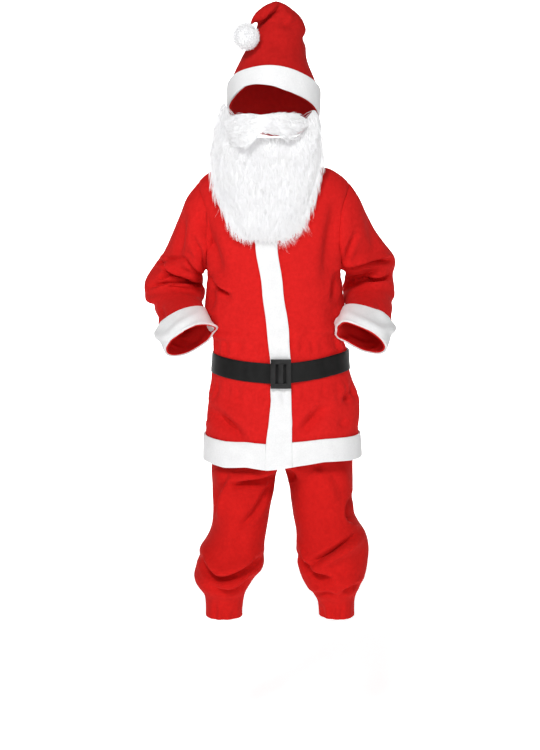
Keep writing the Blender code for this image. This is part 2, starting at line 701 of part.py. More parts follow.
def build_trousers():
    cloth = Cloth()
    legs = [("left", LEFT_LEG, LEFT_LEG_FOLDS, 1), ("right", RIGHT_LEG, RIGHT_LEG_FOLDS, -1)]
    for name, table, folds, side in legs:
        seat = [seat_row(between(SEAT, level), side) for level in levels(SEAT_ROWS_PER_SECTION)]
        inner = crotch_points(SEAT[-1])
        rings = [seat[-1] + inner]
        rings += [leg_ring(between(table, level), folds, side) for level in levels(LEG_ROWS_PER_SECTION)]
        seat, rings = seat[::-1], rings[::-1]
        if side < 0:
            seat = [row[::-1] for row in seat]
            rings = [row[::-1] for row in rings]
        cloth.rows(seat[-2:], "waist_" + name)
        cloth.rows(seat[:-1], "leg_" + name)
        cloth.rows(rings, "leg_" + name, closed=True)
    cloth.panel("trouser_leg_left", ["leg_left"], RED, FELT)
    cloth.panel("trouser_leg_right", ["leg_right"], RED, FELT)
    cloth.panel("trouser_waistband", ["waist_left", "waist_right"], RED, CASING)


def hat_ring(ring, level):
    centre = Vector(((ring.right_x + ring.left_x) / 2, ring.centre_y, (ring.right_z + ring.left_z) / 2))
    reach = Vector((ring.left_x - ring.right_x, 0, ring.left_z - ring.right_z)) / 2
    up = Vector((-reach.z, 0, reach.x)).normalized()
    lean = math.radians(ring.lean)
    ahead = Vector((0, -math.cos(lean), 0)) + up * math.sin(lean)
    found = []
    for k in range(HAT_COLUMNS):
        turn = 2 * math.pi * k / HAT_COLUMNS
        out = reach * math.sin(turn) + ahead * ring.half_depth * math.cos(turn)
        moved = fold_depth(HAT_FOLDS, level, math.degrees(turn), 24, max(ring.half_depth, 20))
        found.append((centre + out + out.normalized() * moved) * MM)
    return found


def build_hat():
    """A cone of cloth that folds over to one side, with its tail hanging in front."""
    cloth = Cloth()
    brim = [hat_ring(between(HAT, level), level) for level in spread(0, BRIM_RING, 2)]
    steps = spread(BRIM_RING, len(HAT) - 1, 16)
    cone = [hat_ring(between(HAT, level), level) for level in steps]
    cloth.rows(brim, "brim", closed=True)
    cloth.rows(cone, "cone", closed=True)
    tip = cloth.point(Vector(HAT_TIP) * MM)
    last = [cloth.point(place) for place in cone[-1]]
    for k, here in enumerate(last):
        cloth.face((here, last[(k + 1) % len(last)], tip), "cone")

    def wall(place):
        """The felt thins towards the tip, where the cone is too narrow for its full wall."""
        away = (place - Vector(HAT_TIP) * MM).length
        return min(FELT, 0.4 * MM + away / 12)

    cloth.panel("hat", ["brim", "cone"], RED, wall)
    cloth.panel("hat_brim", ["brim"], WHITE, PLUSH, floor=SEAM_GAP)


def build_pompom():
    bpy.ops.mesh.primitive_ico_sphere_add(subdivisions=3, radius=POMPOM_RADIUS, location=(0, 0, 0))
    ball = bpy.context.object
    for vertex in ball.data.vertices:
        way = vertex.co.normalized()
        lump = math.sin(POMPOM_LUMPS * way.x + 1) * math.sin(POMPOM_LUMPS * way.y + 2)
        lump *= math.sin(POMPOM_LUMPS * way.z)
        vertex.co = way * (POMPOM_RADIUS + POMPOM_LUMP_HEIGHT * (lump - 1) / 2)
    ball.data.transform(ball.matrix_world)
    for vertex in ball.data.vertices:
        vertex.co += Vector(POMPOM_CENTRE) * MM
    ball.name = "hat_pompom"
    ball.data.shade_smooth()
    ball.data.materials.append(finish(FUR))


def beard_place(across, down):
    """A point of the beard's backing: across from -1 on the right to 1, down from 0 to 1."""
    rise = min(max((abs(across) - 0.42) / 0.3, 0), 1)
    rise = rise * rise * (3 - 2 * rise)
    top = BEARD_CHIN_Z + (BEARD_CHEEK_Z - 7.8 * across - BEARD_CHIN_Z) * rise
    z = top + (BEARD[-1].z - top) * down
    heights = [row.z for row in BEARD]
    level = next((k + (heights[k] - z) / (heights[k] - heights[k + 1])
                  for k in range(len(heights) - 1) if z >= heights[k + 1] - 1e-6), len(heights) - 1)
    row = between(BEARD, max(level, 0))
    turn = across * math.pi / 2
    x = row.centre_x + row.half_width * math.sin(turn)
    y = row.side_y + (row.front_y - row.side_y) * abs(math.cos(turn)) ** 0.8
    return Vector((x, y, z)) * MM


def build_beard():
    cloth = Cloth()
    grid = [[beard_place(a, d) for a in spread(-1, 1, BEARD_COLUMNS)] for d in spread(1, 0, BEARD_ROWS)]
    edge = [grid[0], grid[-1], [row[0] for row in grid], [row[-1] for row in grid]]
    rim = [place for line in edge for place in line]

    def pile(place):
        """The fur is thin along the beard's edge and reaches its full depth inside."""
        away = min((place - other).length for other in rim)
        return BEARD_EDGE + (BEARD_PILE - BEARD_EDGE) * min(away / (1.6 * BEARD_PILE), 1) ** 0.6

    cloth.rows(grid, "beard")
    cloth.panel("beard", ["beard"], FUR, pile, floor=SEAM_GAP)


def build_moustache():
    cloth = Cloth()
    count = (len(MOUSTACHE) - 1) * MOUSTACHE_STEPS
    grid = []
    for level in spread(0, len(MOUSTACHE) - 1, count):
        cut = between(MOUSTACHE, level)
        ring = []
        for k in range(MOUSTACHE_SIDES):
            turn = 2 * math.pi * k / MOUSTACHE_SIDES
            ahead, up = cut.half_depth * math.cos(turn), cut.half_height * math.sin(turn)
            ring.append(Vector((cut.x, cut.y - ahead, cut.z + up)) * MM)
        grid.append(ring)
    cloth.rows([ring[::-1] for ring in grid], "moustache", closed=True)
    numbers = [[cloth.point(place) for place in ring] for ring in (grid[0], grid[-1])]
    faces = cloth.faces + [tuple(numbers[0]), tuple(reversed(numbers[1]))]
    add_object("moustache", cloth.points, faces, FUR)


def build_elastic():
    """A flat elastic from one top corner of the beard round the back of the head."""
    cloth = Cloth()
    grid = [[], []]
    for level in spread(0, len(ELASTIC) - 1, ELASTIC_STEPS):
        x, y, z = between(ELASTIC, level)
        for row, half in zip(grid, (-0.5, 0.5)):
            row.append(Vector((x, y, z)) * MM + Vector((0, 0, half * ELASTIC_WIDTH)))
    cloth.rows(grid, "elastic")
    cloth.panel("beard_elastic", ["elastic"], WEB, ELASTIC_THICK, floor=SEAM_GAP)


def main():
    clear_scene()
    grids, rows = build_jacket()
    front = build_belt(grids, rows)
    build_buckle(front)
    build_trousers()
    build_hat()
    build_pompom()
    build_beard()
    build_moustache()
    build_elastic()


main()
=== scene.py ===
# %% [markdown]
# # A Santa suit in child size, made soft
#
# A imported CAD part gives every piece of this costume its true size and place: a tall hat, a false
# beard, a belted jacket with white bands, and gathered trousers. The solids are plain walls.
# This lesson turns them into cloth, fur and plastic in Blender. It copies each wall's outer
# side, makes it smooth, presses folds into it and gives it its thickness back. Every length is
# in metres, +Z is up and the front of the suit faces -Y.

import math
from collections import namedtuple

import bmesh
import bpy
import numpy as np
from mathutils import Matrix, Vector
from mathutils.kdtree import KDTree


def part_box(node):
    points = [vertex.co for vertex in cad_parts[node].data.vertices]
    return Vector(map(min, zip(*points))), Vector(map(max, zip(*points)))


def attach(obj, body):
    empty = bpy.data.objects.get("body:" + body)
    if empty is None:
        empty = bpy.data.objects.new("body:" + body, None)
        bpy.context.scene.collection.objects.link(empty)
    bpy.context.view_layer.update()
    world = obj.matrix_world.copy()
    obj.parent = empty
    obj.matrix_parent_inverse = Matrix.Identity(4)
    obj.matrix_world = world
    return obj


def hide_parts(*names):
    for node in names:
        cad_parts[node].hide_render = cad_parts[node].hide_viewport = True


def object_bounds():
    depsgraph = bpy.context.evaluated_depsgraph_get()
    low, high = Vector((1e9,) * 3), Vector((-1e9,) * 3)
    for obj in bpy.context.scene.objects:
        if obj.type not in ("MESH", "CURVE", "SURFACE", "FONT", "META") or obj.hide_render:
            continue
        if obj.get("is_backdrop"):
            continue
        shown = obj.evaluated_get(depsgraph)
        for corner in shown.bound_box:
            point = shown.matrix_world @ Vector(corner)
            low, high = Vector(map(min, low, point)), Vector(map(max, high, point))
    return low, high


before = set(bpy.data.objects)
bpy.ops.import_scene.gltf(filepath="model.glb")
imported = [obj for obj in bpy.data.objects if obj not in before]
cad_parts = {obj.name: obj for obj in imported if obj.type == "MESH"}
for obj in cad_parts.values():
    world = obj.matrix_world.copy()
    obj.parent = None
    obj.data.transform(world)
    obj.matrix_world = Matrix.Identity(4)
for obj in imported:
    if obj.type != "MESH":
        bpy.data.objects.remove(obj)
cad_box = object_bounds()
MM = 0.001
suit_size = [round((high - low) / MM) for low, high in zip(*cad_box)]
print("the suit is", suit_size, "mm wide, deep and high")

# %% [markdown]
# ## Camera
#
# The suit was photographed from four metres away with a long lens, a little above its neck and
# looking down by six degrees. A long lens keeps the sleeves and the hat at one scale. The lens
# length follows from the size of the picture and from how many pixels a metre covers there.

# %% A long lens four metres away
PICTURE_HEIGHT = 750
FOCAL_PIXELS = 2032
SENSOR = 36
CAMERA_PLACE = (-0.0139, -4.0, 0.03)
CAMERA_TILT = math.radians(90 - 6.17)

bpy.ops.object.camera_add(location=CAMERA_PLACE, rotation=(CAMERA_TILT, 0, 0))
camera = bpy.context.object
camera.data.sensor_width = SENSOR
camera.data.lens = SENSOR * FOCAL_PIXELS / PICTURE_HEIGHT
bpy.context.scene.camera = camera
print("lens", round(camera.data.lens, 1), "mm")

# %% [markdown]
# ## Floor and light
#
# A costume catalogue shows its clothes on white. A plane for the floor would show a line at the
# horizon, so the back edge of the plane is extruded upwards and the corner is beveled wide, as
# a photographer's paper sweep hangs. Two strong lights aim at this paper alone, so it burns out
# to white and glows round the edges of the red cloth. They leave the paper in front of the suit
# dimmer, so the paper also glows a little by itself. A key light above the camera models the
# folds, and a weaker one beside the camera opens the shadows.

# %% A paper sweep and four soft lights
FLOOR_Z = -1.13
SWEEP_SIZE, SWEEP_Y, SWEEP_RISE, SWEEP_ROUND = 10.6, 0.95, 4.5, 1.6
PAPER_GLOW, ROOM_LIGHT = 0.62, 0.2


def alone(piece):
    """Selects one object and makes it active, as operators act on all that is selected."""
    bpy.ops.object.select_all(action="DESELECT")
    piece.select_set(True)
    bpy.context.view_layer.objects.active = piece


def plain_material(name, colour, roughness):
    material = bpy.data.materials.new(name)
    material.use_nodes = True
    shader = material.node_tree.nodes["Principled BSDF"]
    shader.inputs["Base Color"].default_value = (*colour, 1)
    shader.inputs["Roughness"].default_value = roughness
    return material


bpy.ops.object.select_all(action="DESELECT")
bpy.ops.mesh.primitive_plane_add(size=SWEEP_SIZE, location=(0, SWEEP_Y, FLOOR_Z))
sweep = bpy.context.object
sweep.name = "paper_sweep"
bpy.ops.object.mode_set(mode="EDIT")
bpy.ops.mesh.select_mode(type="EDGE")
bpy.ops.mesh.select_all(action="DESELECT")
edit = bmesh.from_edit_mesh(sweep.data)
for edge in edit.edges:
    edge.select_set(all(vertex.co.y > 0 for vertex in edge.verts))
bmesh.update_edit_mesh(sweep.data)
bpy.ops.mesh.extrude_region_move(TRANSFORM_OT_translate={"value": (0, 0, SWEEP_RISE)})
bpy.ops.object.mode_set(mode="OBJECT")
bend = sweep.modifiers.new("bend", "BEVEL")
bend.width, bend.segments, bend.limit_method = SWEEP_ROUND, 16, "ANGLE"
bpy.ops.object.modifier_apply(modifier="bend")
bpy.ops.object.shade_smooth()
paper = plain_material("white_paper", (0.93, 0.93, 0.93), 0.9)
glow = paper.node_tree.nodes["Principled BSDF"].inputs
glow["Emission Color"].default_value = (1, 1, 1, 1)
glow["Emission Strength"].default_value = PAPER_GLOW
sweep.data.materials.append(paper)
sweep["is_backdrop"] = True

SoftLight = namedtuple("SoftLight", "name place aim size power")
LIGHTS = [
    SoftLight("key_softbox", (-0.75, -3.0, 2.0), (0, 0, -0.2), 0.9, 84),
    SoftLight("fill_softbox", (1.1, -3.6, 0.4), (0, 0, -0.15), 2.0, 24),
    SoftLight("paper_light_left", (-2.3, 3.0, 0.6), (-0.6, 6.2, 0.1), 1.6, 120),
    SoftLight("paper_light_right", (2.3, 3.0, 0.6), (0.6, 6.2, 0.1), 1.6, 120),
]
for light in LIGHTS:
    bpy.ops.object.light_add(type="AREA", location=light.place)
    lamp = bpy.context.object
    lamp.name = light.name
    lamp.data.size, lamp.data.energy = light.size, light.power
    aim = Vector(light.aim) - Vector(light.place)
    lamp.rotation_euler = aim.to_track_quat("-Z", "Y").to_euler()

world = bpy.data.worlds.new("white_room")
world.use_nodes = True
background = world.node_tree.nodes["Background"].inputs
background["Color"].default_value = (1, 1, 1, 1)
background["Strength"].default_value = ROOM_LIGHT
bpy.context.scene.world = world
bpy.context.scene.view_settings.view_transform = "Standard"
print("floor at", FLOOR_Z, "and", len(LIGHTS), "lights")

# %% [markdown]
# ## Felt
#
# The red cloth is a brushed polyester felt: matt, with a soft nap and no weave. Light that
# grazes it catches the nap, so it takes some sheen. Its colour is never quite even: the nap lies
# this way and that. A coarse noise moves the colour a little, a middle one makes the nap
# cloudy, and a fine stretched one gives fibres, which also reach the bump.


# %% Felt from three noises
def add_node(tree, kind, **settings):
    """A new node, with its sockets set by their names."""
    node = tree.nodes.new(kind)
    for name, value in settings.items():
        node.inputs[name.replace("_", " ")].default_value = value
    return node


def noise_of(tree, place, size, detail=3.0, stretch=(1, 1, 1)):
    """A noise whose spots are about that size, in metres, stretched along the axes."""
    mapping = add_node(tree, "ShaderNodeMapping", Scale=stretch)
    tree.links.new(place, mapping.inputs["Vector"])
    cloud = add_node(tree, "ShaderNodeTexNoise", Scale=1 / size, Detail=detail, Roughness=0.6)
    tree.links.new(mapping.outputs["Vector"], cloud.inputs["Vector"])
    return cloud.outputs["Fac"]


def blend_colours(tree, share, dark, light, low=0.3, high=0.7):
    ramp = add_node(tree, "ShaderNodeValToRGB")
    ramp.color_ramp.elements[0].position, ramp.color_ramp.elements[1].position = low, high
    ramp.color_ramp.elements[0].color = (*dark, 1)
    ramp.color_ramp.elements[1].color = (*light, 1)
    tree.links.new(share, ramp.inputs["Fac"])
    return ramp.outputs["Color"]


def multiply(tree, first, second, share=1.0):
    mix = tree.nodes.new("ShaderNodeMix")
    mix.data_type, mix.blend_type = "RGBA", "MULTIPLY"
    mix.inputs["Factor"].default_value = share
    tree.links.new(first, mix.inputs[6])
    tree.links.new(second, mix.inputs[7])
    return mix.outputs[2]


def bump(tree, heights, shader):
    """One bump after another: each is a socket, a strength and a height in metres."""
    normal = None
    for height, strength, distance in heights:
        node = add_node(tree, "ShaderNodeBump", Strength=strength, Distance=distance)
        tree.links.new(height, node.inputs["Height"])
        if normal:
            tree.links.new(normal, node.inputs["Normal"])
        normal = node.outputs["Normal"]
    tree.links.new(normal, shader.inputs["Normal"])


def workings(material):
    """A material's node tree, its shader and the socket that gives the place on the object."""
    tree = material.node_tree
    place = tree.nodes.new("ShaderNodeTexCoord").outputs["Object"]
    return tree, tree.nodes["Principled BSDF"], place


def napped_cloth(name, dark, light, sheen, tint, cloud=22 * MM, fibre=0.9 * MM, rough=0.92):
    material = plain_material(name, light, rough)
    tree, shader, place = workings(material)
    broad = noise_of(tree, place, cloud * 3, 2.0)
    cloudy = noise_of(tree, place, cloud / 3, 4.0)
    fibres = noise_of(tree, place, fibre, 2.0, stretch=(1, 1, 0.35))
    colour = blend_colours(tree, cloudy, dark, light)
    shade = blend_colours(tree, broad, (0.95, 0.95, 0.95), (1, 1, 1))
    flecks = blend_colours(tree, fibres, (0.92, 0.92, 0.92), (1, 1, 1))
    colour = multiply(tree, multiply(tree, colour, shade), flecks)
    tree.links.new(colour, shader.inputs["Base Color"])
    shader.inputs["Sheen Weight"].default_value = sheen
    shader.inputs["Sheen Roughness"].default_value = 0.5
    shader.inputs["Sheen Tint"].default_value = (*tint, 1)
    shader.inputs["Specular IOR Level"].default_value = 0.05
    bump(tree, [(cloudy, 0.35, 0.5 * MM), (fibres, 0.55, 0.25 * MM)], shader)
    return material


RED_TINT = (1.0, 0.4, 0.35)
red_felt = napped_cloth("red_felt", (0.62, 0.013, 0.012), (0.71, 0.017, 0.016), 0.025, RED_TINT)
# The hat's felt is the red felt painted darker: painted shade for the weaker light on the hat.
hat_felt_painted_shade = napped_cloth("hat_felt_painted_shade", (0.47, 0.011, 0.010), (0.55, 0.014, 0.013), 0.02, RED_TINT)
trouser_felt = napped_cloth("trouser_felt", (0.54, 0.010, 0.009), (0.62, 0.013, 0.011), 0.02, RED_TINT)
white_plush = napped_cloth(
    "white_plush", (0.83, 0.835, 0.84), (0.88, 0.882, 0.885), 0.12, (1, 1, 1), 9 * MM, 0.7 * MM
)
print("felt and plush are ready")

# %% [markdown]
# ## From a CAD wall to one sheet of cloth
#
# A CAD node is a closed wall of loose triangles: an outer side, an inner side and a thin rim.
# Cloth is easier to shape as a single sheet that gets its thickness last. So the copy's doubles
# are merged, the three parts are told apart by their sharp edges, and only the outer side stays.

# %% The outer side of a wall
WELD = 0.02 * MM
SHARP = math.radians(62)


def outer_faces(mesh_data, centre):
    """The faces of the wall's outer side: of the two largest smooth parts, the one that looks
    away from the centre line, or the larger one where no centre is given."""
    unseen, parts = set(mesh_data.faces), []
    while unseen:
        part, edge_of = [], [unseen.pop()]
        while edge_of:
            face = edge_of.pop()
            part.append(face)
            for edge in face.edges:
                if len(edge.link_faces) == 2 and edge.calc_face_angle(0) < SHARP:
                    for other in edge.link_faces:
                        if other in unseen:
                            unseen.discard(other)
                            edge_of.append(other)
        parts.append(part)
    parts.sort(key=lambda part: -sum(face.calc_area() for face in part))
    if centre is None:
        return parts[0]

    def looks_out(part):
        level = Vector((1, 1, 0))
        return sum(f.normal.dot((f.calc_center_median() - centre) * level) * f.calc_area() for f in part)

    return max(parts[:2], key=looks_out)


def welded_copy(node, name):
    """A copy of a CAD node's mesh with its doubles merged. It is left in edit mode."""
    piece = bpy.data.objects.new(name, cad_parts[node].data.copy())
    bpy.context.scene.collection.objects.link(piece)
    piece.data.materials.clear()
    alone(piece)
    bpy.ops.object.mode_set(mode="EDIT")
    bpy.ops.mesh.select_all(action="SELECT")
    bpy.ops.mesh.remove_doubles(threshold=WELD)
    return piece


def outer_side(node, name, centre):
    """The outer side of a CAD wall, as one sheet of four-sided faces."""
    piece = welded_copy(node, name)
    bpy.ops.mesh.select_mode(type="FACE")
    bpy.ops.mesh.select_all(action="DESELECT")
    edit = bmesh.from_edit_mesh(piece.data)
    kept = set(outer_faces(edit, centre))
    for face in edit.faces:
        face.select_set(face not in kept)
    bmesh.update_edit_mesh(piece.data)
    bpy.ops.mesh.delete(type="FACE")
    bpy.ops.mesh.select_all(action="SELECT")
    bpy.ops.mesh.tris_convert_to_quads(face_threshold=math.pi, shape_threshold=math.pi)
    bpy.ops.object.mode_set(mode="OBJECT")
    return piece


print(len(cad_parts), "CAD nodes to dress")

# %% [markdown]
# The side's triangles have become four-sided faces, which Subdivision Surface turns into a smooth
# grid. Where three pieces meet, the corner is pinned, so that the smoothing opens no hole. The
# sheet's area is measured now, because folds only move the cloth and add none.

# %% A smooth grid with pinned corners
MEETING = 1.2 * MM


def meeting_points():
    """The corners where three or more CAD pieces come together."""
    trees = []
    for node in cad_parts.values():
        tree = KDTree(len(node.data.vertices))
        for vertex in node.data.vertices:
            tree.insert(vertex.co, vertex.index)
        tree.balance()
        trees.append(tree)
    return lambda place: sum(tree.find(place)[2] < MEETING for tree in trees) > 2


is_corner = meeting_points()


def smooth_grid(piece, levels):
    """Subdivides the sheet and pins the corners where pieces meet."""
    edit = bmesh.new()
    edit.from_mesh(piece.data)
    pin = edit.verts.layers.float.new("crease_vert")
    for vertex in edit.verts:
        if vertex.is_boundary and is_corner(vertex.co):
            vertex[pin] = 1.0
    edit.to_mesh(piece.data)
    edit.free()
    alone(piece)
    grid = piece.modifiers.new("grid", "SUBSURF")
    grid.levels = grid.render_levels = levels
    grid.boundary_smooth = "PRESERVE_CORNERS"
    bpy.ops.object.modifier_apply(modifier="grid")


def flat_sheet(node, name, levels, centre=None):
    """A smooth sheet with no folds yet, so its area is that of the cloth as it was cut."""
    piece = outer_side(node, name, centre)
    smooth_grid(piece, levels)
    area = sum(face.area for face in piece.data.polygons)
    print(f"{node}: {area:.4f} square metres")
    return piece


# %% [markdown]
# Solidify gives the wall back at the end. It grows inwards, so the outer side stays where the
# folds put it. Thick plush also gets rounded edges.


# %% Thickness
def give_thickness(piece, thickness, bevel=0.0):
    """Turns the sheet into a wall that grows inwards, with soft edges if asked."""
    alone(piece)
    wall = piece.modifiers.new("wall", "SOLIDIFY")
    wall.thickness, wall.offset = thickness, -1
    wall.use_even_offset = False
    bpy.ops.object.modifier_apply(modifier="wall")
    if bevel:
        edge = piece.modifiers.new("edge", "BEVEL")
        edge.width, edge.segments, edge.limit_method = bevel, 2, "ANGLE"
        edge.angle_limit = SHARP
        bpy.ops.object.modifier_apply(modifier="edge")
    bpy.ops.object.shade_smooth_by_angle(angle=math.radians(50))


# %% [markdown]
# ## Folds pressed in
#
# A simulation would drop a hollow suit on the floor, because nobody fills it. So the folds are
# placed one by one, as a sculptor would: each is a line on the front, the back or a side, with a
# width, a depth and a roll. The cloth sinks along the line, and the roll is how much it swells
# on one side of it: left of the line as it is drawn, or right where the number is negative.
# Real folds are lopsided like that, and a strong roll also leans over its trough, which lies in
# shadow then.

# %% Drawing a fold
Crease = namedtuple("Crease", "view width depth roll path")
VIEWS = {
    "front": ((0, 2), (1, -1)),
    "back": ((0, 2), (1, 1)),
    "right": ((1, 2), (0, -1)),
    "left": ((1, 2), (0, 1)),
}


def drawn(**sides):
    """Folds drawn on the garment's sides. Each has a width, a depth, a roll and then the points
    of its line, across and up, all in millimetres."""
    return [Crease(view, *row) for view, rows in sides.items() for row in rows]


def rounded(path):
    """Cuts the corners of a path off twice, so that it bends softly."""
    for _ in range(2):
        near = 0.75 * path[:-1] + 0.25 * path[1:]
        far = 0.25 * path[:-1] + 0.75 * path[1:]
        path = np.concatenate([path[:1], np.stack([near, far], axis=1).reshape(-1, 2), path[-1:]])
    return path


def beside(flat, path):
    """How far each place lies to the left of the path, in metres, how far along it, 0 to 1, and
    which way the path is."""
    nearest = np.full(len(flat), 1e9)
    left, along, toward = np.zeros(len(flat)), np.zeros(len(flat)), np.zeros((len(flat), 2))
    steps = np.linalg.norm(np.diff(path, axis=0), axis=1)
    for k, step in enumerate(steps):
        run = path[k + 1] - path[k]
        share = np.clip(((flat - path[k]) @ run) / step**2, 0, 1)
        off = flat - path[k] - share[:, None] * run
        away = np.linalg.norm(off, axis=1)
        closer = away < nearest
        nearest[closer] = away[closer]
        left[closer] = (away * np.sign(run[0] * off[:, 1] - run[1] * off[:, 0]))[closer]
        along[closer] = (steps[:k].sum() + share[closer] * step) / steps.sum()
        toward[closer] = (-off / np.maximum(away, 1e-9)[:, None])[closer]
    return left, along, toward


# %% [markdown]
# A fold acts only on cloth that faces the side it is drawn on, and fades out at both its ends.
# Three numbers set how strong all the sinking, swelling and leaning is.

# %% Pressing the folds in
SINK, SWELL, LEAN = 1.6, 1.9, 0.9


def fold_moves(places, normals, creases):
    """How the folds move each place, in metres: out or in, and where one rolls, over its trough."""
    moves = np.zeros(places.shape)
    for crease in creases:
        (across, up), (axis, sign) = VIEWS[crease.view]
        flat, path = places[:, [across, up]], rounded(np.array(crease.path) * MM)
        width = crease.width * MM
        inside = (flat > path.min(axis=0) - 4 * width) & (flat < path.max(axis=0) + 4 * width)
        near = np.flatnonzero(inside.all(axis=1))
        left, along, toward = beside(flat[near], path)
        left /= width
        trough = np.exp(-(left**2)) - 0.15 * np.exp(-(((np.abs(left) - 1.9) / 0.9) ** 2))
        roll_side = left * np.sign(crease.roll)
        roll = np.exp(-((roll_side - 1.8) ** 2))
        fade = np.sin(np.pi * (0.03 + 0.94 * along)) ** 0.7
        faces_it = np.clip((normals[near, axis] * sign + 0.1) / 0.45, 0, 1)
        rise = (SWELL * abs(crease.roll) * roll - SINK * crease.depth * trough) * MM
        lean = LEAN * width * min(abs(crease.roll) / 4, 1) * np.exp(-((roll_side - 1.3) ** 2))
        moves[near] += normals[near] * (fade * faces_it * rise)[:, None]
        moves[np.ix_(near, [across, up])] += toward * (fade * faces_it * lean)[:, None]
    return moves


print(f"a fold drawn 10 mm deep sinks {10 * SINK:.0f} mm")

# %% [markdown]
# Low waves of three sizes keep what lies between the folds from looking moulded. Numpy reads and
# writes all points of a sheet in one go, which a loop over its vertices would be slow at.

# %% Low waves
WAVES = [(0.21, 1.0), (0.093, 0.55), (0.041, 0.28)]


def cloth_waves(places, seed):
    """Uneven low waves, the same for every piece at the same place and seed."""
    rng = np.random.default_rng(seed)
    height = np.zeros(len(places))
    for length, share in WAVES:
        for _ in range(4):
            way = rng.normal(size=3) * (1, 1, 0.6)
            way *= 2 * math.pi / length / np.linalg.norm(way)
            height += share / 4 * np.sin(places @ way + rng.uniform(0, 2 * math.pi))
    return height


def read_sheet(piece):
    mesh = piece.data
    count = len(mesh.vertices)
    places, normals = np.empty(count * 3), np.empty(count * 3)
    mesh.vertices.foreach_get("co", places)
    mesh.vertex_normals.foreach_get("vector", normals)
    return places.reshape(-1, 3), normals.reshape(-1, 3)


def write_sheet(piece, places):
    piece.data.vertices.foreach_set("co", places.astype(np.float32).ravel())
    piece.data.update()


print("waves of", *(round(length / MM) for length, _ in WAVES), "mm")

# %% [markdown]
# ## Seams that stay closed
#
# Each sheet moves along its own normals, so two sheets would part at their seam. Sewing holds
# them together. Every point of a rim looks for the other sheet's rim beside it.


# %% Finding the other side of a seam
def tree_of(places):
    tree = KDTree(len(places))
    for k, place in enumerate(places):
        tree.insert(place, k)
    tree.balance()
    return tree


def rim_of(piece):
    edit = bmesh.new()
    edit.from_mesh(piece.data)
    rim = [vertex.index for vertex in edit.verts if vertex.is_boundary]
    edit.free()
    return np.array(rim)


def mean_near(found, values):
    """The mean of the values at the found points, the nearest ones counting most."""
    share = np.array([1 / (away + 1e-6) ** 2 for _, _, away in found])
    return share @ values[[k for _, k, _ in found]] / share.sum()


def partner(place, tree, before, after):
    """Where the other sheet's rim has gone at this place, or None where it isn't beside it."""
    (_, a, _), (_, b, _) = tree.find_n(place, 2)
    run = before[b] - before[a]
    share = np.clip((place - before[a]) @ run / max(run @ run, 1e-12), 0, 1)
    if np.linalg.norm(place - before[a] - share * run) > MEETING:
        return None
    return after[a] + share * (after[b] - after[a])


# %% [markdown]
# Both rims then go to the middle between their two new places, and the cloth near by follows.
# The stitches also pull the seam in a little.

# %% Pressing and sewing a garment
SEAM_DIP, SEAM_REACH, SEAM_DRAW = 0.15 * MM, 3.5 * MM, 12 * MM


def press_together(pieces, creases, wave, sway=None, seed=3):
    """Presses the sheets of one garment and closes their seams. Gives back where every point
    was and how far it moved, for the bands that lie on them. Sway gives each place one more move."""
    before, after, grain, rims = [], [], [], []
    for piece in pieces:
        places, normals = read_sheet(piece)
        moved = fold_moves(places, normals, creases)
        moved += normals * (cloth_waves(places, seed) * wave * MM)[:, None]
        before.append(places)
        grain.append(normals)
        after.append(places + moved + (sway(places) if sway else 0))
        rims.append(rim_of(piece))
    trees = [tree_of(places[rim]) for places, rim in zip(before, rims)]
    sewn = [place.copy() for place in after]
    for k in range(len(pieces)):
        seam, pulls = [], []
        for row in rims[k]:
            others = [
                partner(before[k][row], trees[m], before[m][rims[m]], after[m][rims[m]])
                for m in range(len(pieces))
                if m != k
            ]
            met = [place for place in others if place is not None]
            if met:
                seam.append(row)
                pulls.append(np.mean([*met, after[k][row]], axis=0) - after[k][row])
        if not seam:
            continue
        pulls, seam_tree = np.array(pulls), tree_of(before[k][seam])
        for row, place in enumerate(before[k]):
            found = seam_tree.find_n(place, 3)
            away = found[0][2]
            if away < 3 * SEAM_DRAW:
                sewn[k][row] += mean_near(found, pulls) * math.exp(-((away / SEAM_DRAW) ** 2))
                sewn[k][row] -= grain[k][row] * SEAM_DIP * math.exp(-((away / SEAM_REACH) ** 2))
    for piece, places in zip(pieces, sewn):
        write_sheet(piece, places)
    return np.concatenate(before), np.concatenate(sewn) - np.concatenate(before)


# %% [markdown]
# A band that was sewn on a panel takes the moves of the panel's points below it. Each finished
# piece gets its material and rides on the suit's only body in place of its CAD node.


# %% Bands that follow, and pieces that are done
def follow(strip, moves, lift):
    """Gives a strip the moves of the cloth below it, and lifts it a little."""
    before, moved = moves
    tree = tree_of(before)
    places, normals = read_sheet(strip)
    shift = np.array([mean_near(tree.find_n(place, 4), moved) for place in places])
    write_sheet(strip, places + shift + normals * lift)


def finished(piece, material, node):
    """Gives the piece its material and its place in the frame."""
    piece.data.materials.clear()
    piece.data.materials.append(material)
    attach(piece, "root")
    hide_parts(node)
    triangles = sum(len(face.vertices) - 2 for face in piece.data.polygons)
    print(f"{piece.name}: {triangles} triangles")


# %% [markdown]
# ## The jacket's body and sleeves
#
# Two fronts and a back are joined at the shoulders and down the sides, and each sleeve is one
# bent tube. The belt gathers the body, so the cloth puckers above and below it, and the skirt
# flares. The bent sleeves drag slanting folds from the armpits. Inside each elbow the spare cloth
# stacks up: a deep crease with a roll over it, a short one beside it, and a softer roll below.
# The cuffs turn the sleeve's end in, so the felt puffs out above them.

